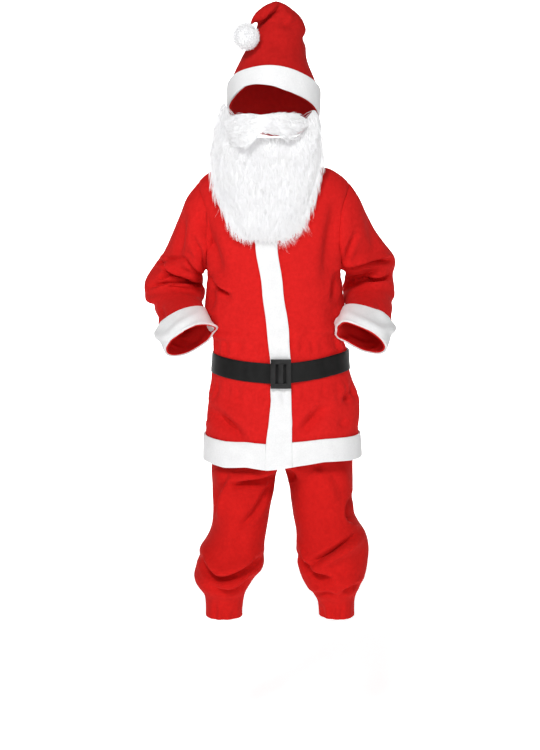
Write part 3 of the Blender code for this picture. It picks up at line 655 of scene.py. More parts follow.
# %% Folds of the jacket
FELT, PLUSH = 2.4 * MM, 4.0 * MM
TRUNK_LINE = Vector((0, 0, 0))
ELBOW_FOLDS = drawn(
    front=[
        (4.6, 13, 4.5, [(-236, -180), (-227, -186), (-202, -204), (-180, -208), (-163, -221), (-155, -225)]),
        (4.4, 9, 2.5, [(-183, -173), (-169, -183), (-158, -194), (-148, -207)]),
        (4, 6, 1.5, [(-236, -214), (-226, -209), (-214, -206)]),
        (5, 7, -3.5, [(-253, -231), (-244, -227), (-207, -221), (-176, -221), (-151, -227)]),
        (8, 5, 1, [(-182, -96), (-187, -132), (-193, -168)]),
        (5.5, 7, -1.5, [(-162, -136), (-149, -168), (-139, -193)]),
        (5, 4, -1, [(-230, -270), (-219, -283)]),
        (4.6, 15, 4.5, [(126, -193), (140, -191), (158, -185), (180, -179), (204, -177), (224, -178)]),
        (4.2, 12, 4, [(180, -214), (200, -213), (222, -210)]),
        (5, 3, 1, [(139, -212), (177, -208)]),
        (5, 6, 1, [(154, -126), (140, -152), (131, -180)]),
        (9, 3, 1, [(176, -92), (188, -132), (192, -160)]),
        (6, 5, -1, [(195, -261), (222, -285)]),
        (6, 0, 3.5, [(-205, -330), (-186, -308), (-160, -294), (-138, -284)]),
        (6, 0, 3.5, [(128, -286), (156, -297), (186, -312), (200, -330)]),
    ],
    right=[
        (6, 5, -3, [(0, -176), (36, -178), (62, -180)]),
        (7, 3, 2, [(20, -268), (60, -268), (95, -264)]),
        (7, -4, 0, [(-100, -318), (-64, -320), (-30, -318)]),
    ],
    left=[
        (6, 3, -1, [(0, -176), (30, -180), (56, -184)]),
        (9, 2, 1, [(20, -258), (56, -264), (95, -256)]),
        (7, -4, 0, [(-110, -304), (-70, -306), (-30, -306)]),
    ],
    back=[
        (11, 3.5, 1, [(-160, -188), (-206, -196), (-240, -210)]),
        (12, 2.5, -1, [(-160, -232), (-206, -240)]),
        (10, 4, 1, [(-166, -106), (-188, -150), (-204, -176)]),
        (11, 3.5, -1, [(150, -182), (196, -187), (222, -200)]),
        (12, 2.5, 1, [(150, -228), (198, -236)]),
        (10, 4, 1, [(156, -100), (184, -150)]),
    ],
)
BODY_FOLDS = drawn(
    front=[
        (12, 9, 0, [(-152, -85), (-140, -124), (-123, -162), (-110, -196)]),
        (6.5, 10, 3.5, [(-131, -207), (-129, -210), (-119, -220), (-93, -239)]),
        (8, 7, 0, [(-123, -215), (-129, -246), (-132, -268)]),
        (13, 7, 0, [(113, -75), (106, -120), (99, -181), (94, -209)]),
        (6, 7, 1.5, [(118, -199), (113, -221), (109, -246)]),
        (14, 4, 1, [(106, -256), (112, -300), (106, -344)]),
        (15, 2.5, 0, [(-76, -290), (-70, -345)]),
        (15, 2.5, 0, [(66, -286), (58, -346)]),
        (12, 10, 1, [(-138, -466), (-112, -476), (-86, -496), (-64, -522)]),
        (12, 3, 0, [(-100, -445), (-56, -445), (-39, -471)]),
        (12, 9, -0.8, [(98, -456), (80, -466), (62, -486), (48, -508)]),
        (9, 4, 0, [(136, -483), (122, -500)]),
        (10, 5, -1, [(150, -425), (128, -450)]),
    ],
    back=[
        (14, 5, 1, [(-96, -180), (-82, -240), (-88, -300)]),
        (15, 5, -1, [(92, -170), (76, -236), (84, -306)]),
        (17, 4, 0, [(-20, -250), (-8, -300), (-16, -346)]),
        (8, 6, 2, [(-130, -204), (-108, -226), (-78, -240)]),
        (8, 6, -2, [(126, -200), (104, -226), (80, -238)]),
        (14, 5, 0, [(-70, -420), (-86, -480), (-76, -540)]),
        (15, 5, 1, [(60, -415), (78, -470), (66, -536)]),
        (16, 3.5, 0, [(8, -430), (2, -500)]),
    ],
    right=[
        (13, 4, 0, [(30, -280), (-14, -310), (6, -345)]),
        (14, 4, 1, [(10, -420), (-6, -500)]),
    ],
    left=[
        (13, 4, 0, [(34, -286), (-10, -310), (8, -345)]),
        (14, 4, -1, [(14, -425), (-4, -510)]),
    ],
)
BODY_WAVE = 1.4
print(len(ELBOW_FOLDS), "folds on the sleeves,", len(BODY_FOLDS), "on the body")

# %% [markdown]
# The belt draws the body in, and what is drawn in must go somewhere: a row of small upright
# puckers, none like its neighbour, runs out above and below it.

# %% Puckers along the belt
PUCKER_SEED = 5
PUCKER_PITCH, PUCKER_WIDTH = 21, 5


def puckers(view, across, start, end, depth, rng):
    """Upright creases from one height towards another, uneven in place, length and depth."""
    found = []
    for middle in np.arange(*across, PUCKER_PITCH):
        x = middle + rng.uniform(-6, 6)
        reach = rng.uniform(0.55, 1.0)
        lean = rng.uniform(-4, 4)
        path = [(x, start), (x + lean, start + (end - start) * reach)]
        width = PUCKER_WIDTH * rng.uniform(0.8, 1.4)
        found.append(Crease(view, width, depth * rng.uniform(0.5, 1.5), 0, path))
    return found


rng = np.random.default_rng(PUCKER_SEED)
BELT_PUCKERS = []
BELT_REACH = {"front": (-118, 118), "back": (-118, 118), "right": (-50, 50), "left": (-50, 50)}
for view, across in BELT_REACH.items():
    BELT_PUCKERS += puckers(view, across, -354, -316, 1.7, rng)
    BELT_PUCKERS += puckers(view, across, -410, -452, 2.0, rng)
JACKET_FOLDS = ELBOW_FOLDS + BODY_FOLDS + BELT_PUCKERS
print(len(JACKET_FOLDS), "folds on the jacket")

# %% [markdown]
# A worn jacket isn't as even as its walls. Above the belt the body puffs out, the sleeves are
# full on their inner sides, the shoulders are high, and the skirt's edge is raised where it lies
# on the hips.

# %% Fuller sides, sleeves, shoulders and hips
LEFT_BULGE, RIGHT_BULGE = 10.5 * MM, 8 * MM
BULGE_Z, BULGE_REACH = -270 * MM, 36 * MM
SIDE = (80 * MM, 115 * MM)
ARM_PUFF = 5.5 * MM
ARM_TOP, ARM_LOW = (-198 * MM, -212 * MM), (-262 * MM, -240 * MM)
SHOULDER_RISE, NECK_X = 9 * MM, -8 * MM
SHOULDER_Z, SHOULDER_X = (-190 * MM, -70 * MM), (65 * MM, 110 * MM)
HEM_TOP, HEM_LOW = -430 * MM, -610 * MM
HEM_LIFTS = [(-150, 11), (-100, 1), (-60, 7.5), (-20, 1), (0, 4), (39, 12.5), (90, 21), (120, 19), (150, 15)]


def ramp(values, start, end):
    """0 before the start, 1 beyond the end, and even between them."""
    return np.clip((values - start) / (end - start), 0, 1)


def puff_sides(panel):
    """Fills the body out at its sides above the belt, where the blouse hangs over it."""
    places, _ = read_sheet(panel)
    x, z = places[:, 0], places[:, 2]
    share = np.exp(-(((z - BULGE_Z) / BULGE_REACH) ** 2)) * ramp(np.abs(x), *SIDE)
    places[:, 0] += share * np.where(x > 0, LEFT_BULGE, -RIGHT_BULGE)
    write_sheet(panel, places)


def puff_arm(panel):
    """Fills the inner side of the arm, which all but touches the body below the armpit."""
    places, normals = read_sheet(panel)
    x, z = places[:, 0], places[:, 2]
    share = ramp(z, *ARM_TOP) * ramp(z, *ARM_LOW)
    places[:, 0] -= np.sign(x) * share * np.clip(-normals[:, 0] * np.sign(x), 0, 1) * ARM_PUFF
    write_sheet(panel, places)


def hips_and_shoulders(places):
    """Raises the skirt's edge where it lies on the hips, and the shoulders, which are full."""
    x, z = places[:, 0], places[:, 2]
    across, lift = np.array(HEM_LIFTS).T * MM
    hem = np.interp(x, across, lift) * ramp(z, HEM_TOP, HEM_LOW) ** 1.5
    high = ramp(z, *SHOULDER_Z) * ramp(np.abs(x - NECK_X), *SHOULDER_X)
    return np.stack([0 * x, 0 * x, hem + SHOULDER_RISE * high], axis=1)


print("the hem rises by up to", max(lift for _, lift in HEM_LIFTS), "mm")

# %% [markdown]
# Every sheet gets a grid that is fine enough for its narrowest fold. The back has only broad
# ones, so its grid is coarser. The five sheets are pressed in one go. Each row also lists the
# size it was cut to: its width, its length and the area of its pattern.

# %% Five sheets of felt
JACKET_SHEETS = [
    ("jacket_front_left", TRUNK_LINE, 3, (0.24, 0.60), 0.125, "hung"),
    ("jacket_front_right", TRUNK_LINE, 3, (0.20, 0.60), 0.106, "hung"),
    ("jacket_back", TRUNK_LINE, 2, (0.42, 0.60), 0.221, "hung"),
    ("sleeve_left", None, 3, (0.30, 0.40), 0.107, "gathered"),
    ("sleeve_right", None, 3, (0.30, 0.40), 0.108, "gathered"),
]
jacket = []
for node, centre, levels, *_ in JACKET_SHEETS:
    panel = flat_sheet(node, node + "_felt", levels, centre)
    (puff_sides if centre else puff_arm)(panel)
    jacket.append(panel)
jacket_moves = press_together(jacket, JACKET_FOLDS, BODY_WAVE, hips_and_shoulders)
for panel, (node, _, _, flat, area, held) in zip(jacket, JACKET_SHEETS):
    give_thickness(panel, FELT)
    finished(panel, red_felt, node)

# %% [markdown]
# ## White bands
#
# The front band, the hem and the cuffs are strips of short white plush, sewn on flat. Each CAD
# strip was made from its panel's own points, so the copy follows the panel's folds and lies
# true. The plush is thicker than the felt. Its edges are turned under, so they are beveled.

# %% Front band, hem and cuffs
PLUSH_EDGE = 0.8 * MM
PLUSH_LIFT = 0.35 * MM
HEM_END = 3.4 * MM
BAND_SIDE, BAND_MIDDLE = (-42 * MM, -28 * MM), -20 * MM


def meet_band(strip):
    """Draws the hem's end under the front band, so that no red shows between them."""
    places, _ = read_sheet(strip)
    x, y, _ = places.T
    places[:, 0] += HEM_END * ramp(x, *BAND_SIDE) * (x < BAND_MIDDLE) * (y < 0)
    write_sheet(strip, places)


def plush_strip(node, moves, centre=TRUNK_LINE):
    strip = flat_sheet(node, node + "_plush", 3, centre)
    if node == "hem_trim":
        meet_band(strip)
    follow(strip, moves, PLUSH_LIFT)
    give_thickness(strip, PLUSH, PLUSH_EDGE)
    finished(strip, white_plush, node)


plush_strip("front_band", jacket_moves)
plush_strip("hem_trim", jacket_moves)
plush_strip("cuff_trim_right", jacket_moves, None)
plush_strip("cuff_trim_left", jacket_moves, None)

# %% [markdown]
# ## Trousers
#
# Pull-on trousers with an elastic waist and gathered hems. The hems are worn high, so the cloth
# hangs over in a heavy roll above each of them, with deep slanting creases at the knee. The
# seam between the legs drags folds out from the crotch.

# %% Two legs and the waist
LEG_FOLDS = drawn(
    front=[
        (7, 12, 2.5, [(-90, -611), (-60, -604), (-34, -601), (-8, -598)]),
        (6, 6, 2, [(-5, -598), (-17, -620), (-33, -648), (-52, -675), (-76, -694)]),
        (6, 6, 3, [(-97, -592), (-112, -623), (-119, -657), (-124, -678)]),
        (8, 13, 5.5, [(-149, -757), (-126, -786), (-111, -793), (-81, -784), (-47, -767), (-38, -762)]),
        (8, 6, 4, [(-126, -812), (-93, -822), (-52, -800)]),
        (10, 8, 0, [(17, -584), (31, -608)]),
        (7, 4, 0, [(71, -570), (92, -575)]),
        (7, 10, -4, [(67, -769), (86, -757), (116, -737), (152, -713), (161, -708)]),
        (7, 8, 3, [(40, -747), (57, -771), (76, -788), (105, -798)]),
        (5.5, 14, 0, [(153, -640), (141, -655), (140, -672), (151, -685)]),
        (10, 3, 1, [(104, -585), (123, -614), (128, -643)]),
        (7, 7, 2, [(129, -826), (153, -812), (165, -817)]),
        (6, 4, 1, [(66, -838), (96, -826), (120, -834)]),
        (12, 3, 0, [(-70, -700), (-78, -740)]),
        (12, 3, 0, [(96, -662), (104, -706)]),
    ],
    back=[
        (9, 6, 1.5, [(-124, -750), (-100, -758), (-72, -750)]),
        (8, 6, -1.5, [(-130, -792), (-104, -800), (-70, -794)]),
        (9, 6, 1.5, [(78, -748), (104, -754), (138, -744)]),
        (8, 6, -1.5, [(80, -796), (112, -804), (142, -792)]),
        (11, 6, 2, [(-10, -610), (-44, -646), (-66, -690)]),
        (11, 6, -2, [(26, -610), (58, -646), (80, -690)]),
    ],
    right=[
        (7, 1.5, 0, [(-40, -760), (10, -768), (46, -758)]),
    ],
)
for view in ("front", "back"):
    for across in ((-150, -50), (66, 170)):
        LEG_FOLDS += puckers(view, across, -888, -846, 2.4, rng)
LEG_WAVE = 1.6
KNEE_PUFFS = [(-145, -770, 35, -6.5), (-31, -776, 25, 5.5), (47, -780, 45, -6)]
PUFF_WIDTH = 24


def fuller_knees(places):
    """Fills the legs out where their cloth rests on itself. Each puff has its place across and
    its height, how far it reaches up and down, and how far it pushes to the wearer's left."""
    x, z = places[:, 0] / MM, places[:, 2] / MM
    push = np.zeros(len(places))
    for across, up, reach, size in KNEE_PUFFS:
        push += size * MM * np.exp(-(((x - across) / PUFF_WIDTH) ** 2) - ((z - up) / reach) ** 2)
    return np.stack([push, 0 * x, 0 * x], axis=1)


LEGS = {"trouser_leg_right": 0.202, "trouser_leg_left": 0.207}
legs = [flat_sheet(node, node + "_felt", 3) for node in LEGS]
press_together(legs, LEG_FOLDS, LEG_WAVE, fuller_knees)
for leg, (node, area) in zip(legs, LEGS.items()):
    give_thickness(leg, FELT)
    finished(leg, trouser_felt, node)

CASING = 3.0 * MM
WAIST_WAVE = 0.4
waist = flat_sheet("trouser_waistband", "trouser_waistband_felt", 2, TRUNK_LINE)
press_together([waist], [], WAIST_WAVE)
give_thickness(waist, CASING)
finished(waist, trouser_felt, "trouser_waistband")

# %% [markdown]
# ## Hat
#
# A tall cone of the same felt, its colour painted darker as shade for the weaker light that
# reaches it. Its top folds over to the wearer's right, so the cloth breaks in a sharp crease
# where it turns down, and the tail hangs in front with the pompom.

# %% The cone and its brim
HAT_FOLDS = drawn(
    front=[
        (5, 7, 4, [(-39, 279), (-25, 293), (-4, 306), (7, 318)]),
        (10, 4, 0, [(7, 293), (22, 274)]),
        (9, 3, 1, [(22, 274), (41, 289)]),
        (12, 2, 0, [(-14, 262), (4, 226)]),
    ],
    back=[
        (9, 4, 1, [(-30, 250), (10, 236), (40, 246)]),
        (8, 4, -1, [(-20, 290), (16, 280)]),
        (11, 3, 0, [(-50, 170), (-20, 200)]),
    ],
    left=[
        (9, 4, 1, [(-20, 250), (20, 262)]),
    ],
)
HAT_WAVE = 0.8

BROW_LIFTS = [(-95, 1), (-80, 7), (-61, 13.5), (-40, 11), (-8, 6), (12, 1), (40, -1.5), (75, -2), (95, 0)]
BRIM_LIFT, BROW_X, BROW_WIDTH = 4.7 * MM, -8 * MM, 60 * MM
BRIM_TOP, BRIM_LOW, BRIM_FRONT = (250 * MM, 200 * MM), (195 * MM, 153 * MM), (0, 80 * MM)


def brow_lift(places):
    """Raises the brim's front, which is worn higher than its back. Its lower edge rises most at
    the wearer's right."""
    x, y, z = places.T
    across, lift = np.array(BROW_LIFTS).T * MM
    brim = BRIM_LIFT * np.exp(-(((x - BROW_X) / BROW_WIDTH) ** 2))
    rise = brim * ramp(z, *BRIM_TOP) + (np.interp(x, across, lift) - brim) * ramp(z, *BRIM_LOW)
    return np.stack([0 * x, 0 * x, rise * ramp(-y, *BRIM_FRONT)], axis=1)


hat = flat_sheet("hat", "hat_felt_painted_shade", 2)
hat_moves = press_together([hat], HAT_FOLDS, HAT_WAVE, brow_lift)
give_thickness(hat, FELT)
finished(hat, hat_felt_painted_shade, "hat")
plush_strip("hat_brim", hat_moves, None)

# %% [markdown]
# ## Fur
#
# Beard, moustache and pompom are long synthetic fur on a cloth backing. Its fibres are white and
# nearly matt. Light passes from fibre to fibre in such fur, more often than a renderer follows
# it, and a weak glow stands for that.

# %% White fur
FUR_GLOW = 0.13


def white_fur_material():
    material = plain_material("white_fur", (0.95, 0.95, 0.95), 0.9)
    tree, shader, place = workings(material)
    locks = noise_of(tree, place, 4 * MM, 3.0, stretch=(1, 1, 0.25))
    clouds = noise_of(tree, place, 30 * MM, 2.0)
    colour = multiply(
        tree,
        blend_colours(tree, locks, (0.93, 0.93, 0.94), (0.97, 0.97, 0.97)),
        blend_colours(tree, clouds, (0.97, 0.97, 0.98), (1, 1, 1)),
    )
    tree.links.new(colour, shader.inputs["Base Color"])
    shader.inputs["Specular IOR Level"].default_value = 0.25
    shader.inputs["Sheen Weight"].default_value = 0.2
    shader.inputs["Sheen Roughness"].default_value = 0.5
    shader.inputs["Emission Color"].default_value = (1, 1, 1, 1)
    shader.inputs["Emission Strength"].default_value = FUR_GLOW
    bump(tree, [(locks, 0.4, 0.8 * MM)], shader)
    return material


white_fur = white_fur_material()
print("white fur glows with a strength of", FUR_GLOW)

# %% [markdown]
# The body below the strands is the CAD solid, rounded. It is as white as they are, so that the
# gaps between them stay bright.


# %% A body for the strands
def body_of_fur(node, name, levels):
    """A copy of the whole CAD solid, rounded, for the strands to grow on."""
    piece = welded_copy(node, name)
    bpy.ops.mesh.tris_convert_to_quads(face_threshold=math.pi, shape_threshold=math.pi)
    bpy.ops.object.mode_set(mode="OBJECT")
    grid = piece.modifiers.new("grid", "SUBSURF")
    grid.levels = grid.render_levels = levels
    bpy.ops.object.modifier_apply(modifier="grid")
    bpy.ops.object.shade_smooth()
    return piece


# %% [markdown]
# Hair particles would not leave the script as a mesh, so each strand is a thin tapered bar with
# three sides. Its root is a random place on the body, and large faces get more roots than small
# ones. Strands that start near each other share one leader.


# %% Roots and locks
def unit(vectors):
    return vectors / np.maximum(np.linalg.norm(vectors, axis=-1, keepdims=True), 1e-9)


def scatter(piece, count, rng, chosen=None):
    """Roots spread evenly over the piece's faces, with their normals."""
    mesh = piece.data
    mesh.calc_loop_triangles()
    corners = np.array([t.vertices for t in mesh.loop_triangles])
    places, normals = read_sheet(piece)
    a, b, c = (places[corners[:, k]] for k in range(3))
    area = np.linalg.norm(np.cross(b - a, c - a), axis=1)
    if chosen is not None:
        area = area * chosen((a + b + c) / 3, unit(np.cross(b - a, c - a)))
    picked = rng.choice(len(area), size=count, p=area / area.sum())
    u, v = rng.random(count), rng.random(count)
    fold = u + v > 1
    u[fold], v[fold] = 1 - u[fold], 1 - v[fold]
    mix = np.stack([1 - u - v, u, v], axis=1)[:, :, None]
    roots = (places[corners[picked]] * mix).sum(axis=1)
    return roots, unit((normals[corners[picked]] * mix).sum(axis=1))


def locks_of(roots, spacing):
    """For each strand, the strand that leads its lock: the nearest of a thinned-out few."""
    cells = np.floor(roots / spacing).astype(int)
    _, leaders = np.unique(cells, axis=0, return_index=True)
    tree = tree_of(roots[leaders])
    return leaders[[tree.find(root)[1] for root in roots]]


def laid_down(flow, normals):
    """Turns the way that the fur is combed nearly into the surface."""
    return unit(flow - 0.9 * normals * (flow * normals).sum(axis=1, keepdims=True))


# %% [markdown]
# Thousands of strands are written in one go with numpy: first the line that each follows, then
# three corners round every point of it, then the faces. The strands of a lock take most of their
# length, direction and wave from its leader and gather towards it at their tips.

# %% Strands that gather into locks
Coat = namedtuple("Coat", "length lift width wave gather lock")


def grow(name, roots, normals, flow, coat, room, rng, steps=(0.0, 0.4, 0.75, 1.0)):
    """One mesh of strands. A coat's length, lift, width and wave are (least, most) and its lock
    is how wide a lock is, all in millimetres. Room shortens the strands near an edge, and the
    tips gather towards their lock's leader."""
    count, points = len(roots), len(steps)
    leader = locks_of(roots, coat.lock * MM)
    t = np.array(steps)[None, :, None]

    def each(least_most, of_lock=0.6):
        value = rng.uniform(*least_most, count)
        return (of_lock * value[leader] + (1 - of_lock) * value)[:, None, None]

    flow = unit(0.65 * flow[leader] + 0.35 * flow)
    side = unit(np.cross(flow, normals))
    phase = each((0, 2 * np.pi), 0.85)
    swing = np.sin(t * each((3.0, 6.5), 0.9) + phase) - np.sin(phase)
    line = roots[:, None] + flow[:, None] * MM * each(coat.length) * room[:, None, None] * t
    line = line + normals[:, None] * (MM * each(coat.lift) * (1.9 * t - 1.2 * t**2))
    line = line + side[:, None] * (MM * each(coat.wave) * swing * t)
    line = line + (roots[leader] - roots)[:, None] * coat.gather * t**1.5
    thick = MM * each(coat.width, 0) * (1 - t[:, :-1]) ** 0.6 / 2
    rings = [
        line[:, :-1] + thick * (math.cos(turn) * side[:, None] + math.sin(turn) * normals[:, None])
        for turn in (0, 2 * math.pi / 3, 4 * math.pi / 3)
    ]
    body = np.stack(rings, axis=2).reshape(count, -1, 3)
    places = np.concatenate([body, line[:, -1:]], axis=1).reshape(-1, 3)
    faces = [(0, 2, 1)]
    for low in range(0, 3 * (points - 2), 3):
        for k in range(3):
            m = (k + 1) % 3
            faces += [(low + k, low + m, low + 3 + m), (low + k, low + 3 + m, low + 3 + k)]
    last = 3 * (points - 2)
    faces += [(last + k, last + (k + 1) % 3, last + 3) for k in range(3)]
    faces = (np.array(faces)[None] + np.arange(count)[:, None, None] * (last + 4)).reshape(-1, 3)
    mesh = bpy.data.meshes.new(name)
    mesh.from_pydata(places.tolist(), [], faces.tolist())
    mesh.shade_smooth()
    strands = bpy.data.objects.new(name, mesh)
    bpy.context.scene.collection.objects.link(strands)
    mesh.materials.append(white_fur)
    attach(strands, "root")
    print(f"{name}: {count} strands, {len(faces)} triangles")


# %% [markdown]
# ## Beard
#
# It hangs down over the jacket, full in the middle and thin at its ragged lower edge. The locks
# fall straight down, turn outwards near the top and inwards near the bottom. The body is pulled
# in by the depth of the fur and gets low upright ridges, so that light breaks on it as it does
# on real locks.

# %% The beard's body and locks
BEARD_PULL_IN, SIDES_PULL_IN = 6.5 * MM, 9 * MM
RIDGE_WIDTH, RIDGE_HEIGHT = 13 * MM, 1.0 * MM
BEARD_STRANDS, BEARD_SEED = 10300, 11
BEARD_COAT = Coat((22, 44), (4, 8), (0.45, 1.0), (0.8, 2.6), 0.5, 8)


def lock_ridges(places):
    """Upright ridges that waver, like locks that lie side by side."""
    x, z = places[:, 0], places[:, 2]
    bent = x + 7 * MM * np.sin(z / (31 * MM) + 2 * np.sin(x / (43 * MM)))
    ridge = np.sin(2 * np.pi * bent / RIDGE_WIDTH)
    ridge += 0.6 * np.sin(2 * np.pi * bent / (0.57 * RIDGE_WIDTH) + z / (17 * MM))
    return ridge * (0.6 + 0.4 * np.sin(z / (23 * MM) + x / (19 * MM)))


def faces_front(centres, normals):
    return np.clip(-normals[:, 1] + 0.45, 0, 1)


beard = body_of_fur("beard", "beard_body", 2)
places, normals = read_sheet(beard)
outside = np.clip(-normals[:, 1] * 2 + 0.9, 0, 1) * np.clip(1 - normals[:, 2], 0, 1)
low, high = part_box("beard")
fallen = (high.z - places[:, 2]) / (high.z - low.z)
sides = SIDES_PULL_IN * np.abs(normals[:, 0]) * (0.5 + 0.9 * fallen)
inwards = BEARD_PULL_IN + sides - lock_ridges(places) * RIDGE_HEIGHT
write_sheet(beard, places - normals * (outside * inwards)[:, None])
finished(beard, white_fur, "beard")

rng = np.random.default_rng(BEARD_SEED)
roots, root_normals = scatter(beard, BEARD_STRANDS, rng, faces_front)
middle = (low.x + high.x) / 2
spread = (roots[:, 0] - middle) / (high.x - low.x) * 2
fall = (high.z - roots[:, 2]) / (high.z - low.z)
flow = np.stack([spread * (0.12 - 0.42 * fall), np.zeros(len(roots)), -np.ones(len(roots))], axis=1)
flow += rng.normal(scale=0.13, size=flow.shape)
flow = laid_down(flow, root_normals)
edge_room = np.clip((roots[:, 2] - low.z) / (45 * MM), 0.3, 1)
grow("beard_locks", roots, root_normals, flow, BEARD_COAT, edge_room, rng)

WISPS = 420
WISP_COAT = Coat((16, 34), (4, 9), (0.35, 0.7), (1.5, 4.5), 0.6, 11)
WISP_X, WISP_Z = 22 * MM, -60 * MM


def ragged_edge(centres, normals):
    """The lower edge, mostly at the wearer's left, where the locks come apart."""
    right_of = np.clip((centres[:, 0] + 70 * MM) / (WISP_X + 70 * MM), 0.08, 1)
    below = np.clip((WISP_Z - centres[:, 2]) / (30 * MM), 0, 1)
    return below * right_of**2 * np.clip(-normals[:, 1] + 0.3, 0, 1)


roots, root_normals = scatter(beard, WISPS, rng, ragged_edge)
outwards = np.clip((roots[:, 0] + 40 * MM) / (80 * MM), -0.6, 1)
flow = np.stack([0.7 * outwards, -0.15 * np.ones(WISPS), -np.ones(WISPS)], axis=1)
flow += rng.normal(scale=0.3, size=flow.shape)
grow("beard_wisps", roots, root_normals, unit(flow), WISP_COAT, np.ones(WISPS), rng)

# %% [markdown]
# ## Moustache
#
# Two soft lobes of the same fur on a strip of backing, with the locks combed from the middle
# to both sides. Its lower edge lies on the beard, and the slit between them is left open.

# %% The moustache's body and locks
MOUSTACHE_PULL_IN = 2 * MM
LOBE_DROP, TOP_RISE = 7 * MM, 5 * MM
SLIT = (-30 * MM, 0)
MOUSTACHE_STRANDS, MOUSTACHE_SEED = 3800, 23
MOUSTACHE_COAT = Coat((10, 20), (2, 4.5), (0.45, 0.9), (0.4, 1.4), 0.4, 6)
PARTING_X = -31 * MM
SHORT_STEPS = (0.0, 0.55, 1.0)

moustache = body_of_fur("moustache", "moustache_body", 2)
places, normals = read_sheet(moustache)
low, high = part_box("moustache")
from_slit = np.maximum(SLIT[0] - places[:, 0], places[:, 0] - SLIT[1])
lobes = ramp(from_slit, 0, 10 * MM) * ramp(from_slit, 38 * MM, 18 * MM)
places -= normals * MOUSTACHE_PULL_IN
places[:, 2] += TOP_RISE * np.clip(normals[:, 2], 0, 1) - LOBE_DROP * lobes * np.clip(-normals[:, 2], 0, 1)
write_sheet(moustache, places)
finished(moustache, white_fur, "moustache")

rng = np.random.default_rng(MOUSTACHE_SEED)
roots, root_normals = scatter(moustache, MOUSTACHE_STRANDS, rng)
away = np.sign(roots[:, 0] - PARTING_X)
rise = 0.35 * np.abs(roots[:, 0] - PARTING_X) / (60 * MM)
flow = np.stack([away, rise, np.full(len(roots), -0.35)], axis=1)
flow += rng.normal(scale=0.2, size=flow.shape)
flow = laid_down(flow, root_normals)
tip_room = np.clip(np.minimum(roots[:, 0] - low.x, high.x - roots[:, 0]) / (22 * MM), 0.3, 1)
grow("moustache_locks", roots, root_normals, flow, MOUSTACHE_COAT, tip_room, rng, SHORT_STEPS)

# %% [markdown]
# ## Pompom
#
# A ball of cut yarn. Its fibres stand straight out in every direction, so the flow of a strand
# is its own normal, turned a little at random.

# %% A ball of cut yarn
POMPOM_PULL_IN = 5 * MM
POMPOM_STRANDS, POMPOM_SEED = 3600, 31
POMPOM_COAT = Coat((4.5, 8), (0.2, 1.5), (0.6, 1.1), (0.2, 0.9), 0.3, 4)

pompom = body_of_fur("hat_pompom", "pompom_body", 1)
places, normals = read_sheet(pompom)
write_sheet(pompom, places - normals * POMPOM_PULL_IN)
finished(pompom, white_fur, "hat_pompom")

rng = np.random.default_rng(POMPOM_SEED)
roots, root_normals = scatter(pompom, POMPOM_STRANDS, rng)
flow = unit(root_normals + rng.normal(scale=0.42, size=root_normals.shape))
tilted = unit(np.cross(flow, rng.normal(size=flow.shape)))
grow("pompom_yarn", roots, tilted, flow, POMPOM_COAT, np.ones(len(roots)), rng, SHORT_STEPS)

# %% [markdown]
# ## Elastic
#
# A narrow woven elastic holds the beard on. It shows only from behind and from the sides. Its
# CAD strip has the true route, so the copy needs only smoothing and ribs along its length.


# %% Woven elastic
def ribbed_elastic():
    material = plain_material("white_elastic", (0.8, 0.8, 0.78), 0.8)
    tree, shader, place = workings(material)
    wave = add_node(tree, "ShaderNodeTexWave", Scale=180)
    wave.bands_direction = "Z"
    tree.links.new(place, wave.inputs["Vector"])
    colour = blend_colours(tree, wave.outputs["Fac"], (0.62, 0.62, 0.6), (0.84, 0.84, 0.82))
    tree.links.new(colour, shader.inputs["Base Color"])
    bump(tree, [(wave.outputs["Fac"], 0.5, 0.3 * MM)], shader)
    return material


ELASTIC = 1.2 * MM
elastic = flat_sheet("beard_elastic", "beard_elastic_weave", 2, TRUNK_LINE)
give_thickness(elastic, ELASTIC)
finished(elastic, ribbed_elastic(), "beard_elastic")

# %% [markdown]
# ## Belt
#
# A strap of thin imitation leather: smooth, black and satin, with a fine grain and a little
# waviness, because it has no stiffening. The edges are cut and slightly rounded. It is worn a
# little higher on the wearer's left.


# %% Imitation leather
def imitation_leather():
    material = plain_material("black_strap", (0.009, 0.009, 0.009), 0.5)
    tree, shader, place = workings(material)
    grain = add_node(tree, "ShaderNodeTexVoronoi", Scale=1 / (1.4 * MM))
    tree.links.new(place, grain.inputs["Vector"])
    creases = noise_of(tree, place, 14 * MM, 4.0, stretch=(1, 1, 0.4))
    colour = blend_colours(tree, creases, (0.007, 0.007, 0.007), (0.012, 0.012, 0.012))
    tree.links.new(colour, shader.inputs["Base Color"])
    shader.inputs["Specular IOR Level"].default_value = 0.15
    gloss = blend_colours(tree, creases, (0.44,) * 3, (0.58,) * 3)
    tree.links.new(gloss, shader.inputs["Roughness"])
    bump(tree, [(creases, 0.25, 0.8 * MM), (grain.outputs["Distance"], 0.2, 0.12 * MM)], shader)
    return material


STRAP, STRAP_LIFT, STRAP_EDGE = 1.8 * MM, 0.4 * MM, 0.5 * MM
BELT_RISE, RISE_X = 6 * MM, (5 * MM, 105 * MM)
belt = flat_sheet("belt", "belt_strap", 3, TRUNK_LINE)
follow(belt, jacket_moves, STRAP_LIFT)
places, _ = read_sheet(belt)
places[:, 2] += BELT_RISE * ramp(places[:, 0], *RISE_X)
write_sheet(belt, places)
give_thickness(belt, STRAP, STRAP_EDGE)
finished(belt, imitation_leather(), "belt")

# %% [markdown]
# ## Buckle
#
# A moulded plastic slide: a frame with a middle bar, thick enough to take the strap. A cube gets
# the frame's size, its front and back are inset, and the two insets are bridged, which opens
# the window. The bar is a second cube, and Bevel rounds every edge as a mould does.


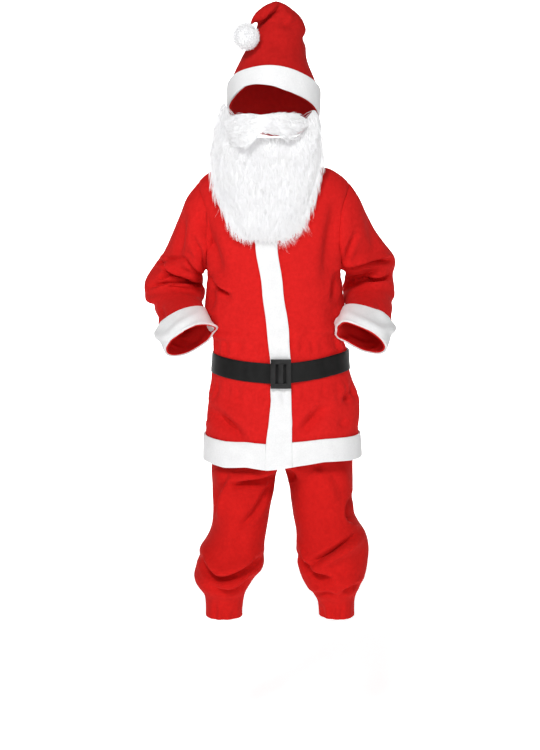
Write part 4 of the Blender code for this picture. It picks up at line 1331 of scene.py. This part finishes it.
# %% A moulded slide
def moulded_plastic():
    material = plain_material("black_plastic", (0.022, 0.022, 0.023), 0.38)
    tree, shader, place = workings(material)
    specks = noise_of(tree, place, 0.8 * MM, 2.0)
    wear = noise_of(tree, place, 12 * MM, 3.0)
    shader.inputs["Specular IOR Level"].default_value = 0.3
    tree.links.new(blend_colours(tree, wear, (0.008,) * 3, (0.014,) * 3), shader.inputs["Base Color"])
    tree.links.new(blend_colours(tree, wear, (0.3,) * 3, (0.46,) * 3), shader.inputs["Roughness"])
    bump(tree, [(specks, 0.25, 0.12 * MM)], shader)
    return material


BORDER, BAR_WIDTH, MOULD_EDGE = 9.6 * MM, 10.5 * MM, 1.0 * MM
low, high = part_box("buckle")
centre, size = (low + high) / 2, high - low


def bar_of_plastic(name, place, sizes):
    bpy.ops.object.select_all(action="DESELECT")
    bpy.ops.mesh.primitive_cube_add(size=1, location=place, scale=sizes)
    bar = bpy.context.object
    bar.name = name
    bpy.ops.object.transform_apply(location=True, rotation=True, scale=True)
    return bar


buckle = bar_of_plastic("buckle_frame", centre, size)
bpy.ops.object.mode_set(mode="EDIT")
bpy.ops.mesh.select_mode(type="FACE")
bpy.ops.mesh.select_all(action="DESELECT")
edit = bmesh.from_edit_mesh(buckle.data)
for face in edit.faces:
    face.select_set(abs(face.normal.y) > 0.9)
bmesh.update_edit_mesh(buckle.data)
bpy.ops.mesh.inset(thickness=BORDER, depth=0)
bpy.ops.mesh.bridge_edge_loops()
bpy.ops.object.mode_set(mode="OBJECT")
middle_bar = bar_of_plastic(
    "buckle_bar",
    centre + Vector((0, size.y * 0.12, 0)),
    (BAR_WIDTH, size.y * 0.55, size.z - 1.6 * BORDER),
)
for part in (buckle, middle_bar):
    alone(part)
    mould = part.modifiers.new("mould", "BEVEL")
    mould.width, mould.segments, mould.limit_method = MOULD_EDGE, 3, "ANGLE"
    bpy.ops.object.modifier_apply(modifier="mould")
    bpy.ops.object.shade_smooth_by_angle(angle=math.radians(40))
alone(buckle)
middle_bar.select_set(True)
bpy.ops.object.join()
finished(buckle, moulded_plastic(), "buckle")

# %% [markdown]
# ## Last checks
#
# The visual model must stay as large as the CAD part, give or take what cloth stands proud.

# %% Sizes and finish
suit_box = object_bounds()
for axis, name in enumerate("xyz"):
    beyond = [round((suit_box[k][axis] - cad_box[k][axis]) / MM, 1) for k in (0, 1)]
    print(name, beyond, "mm beyond the CAD box")
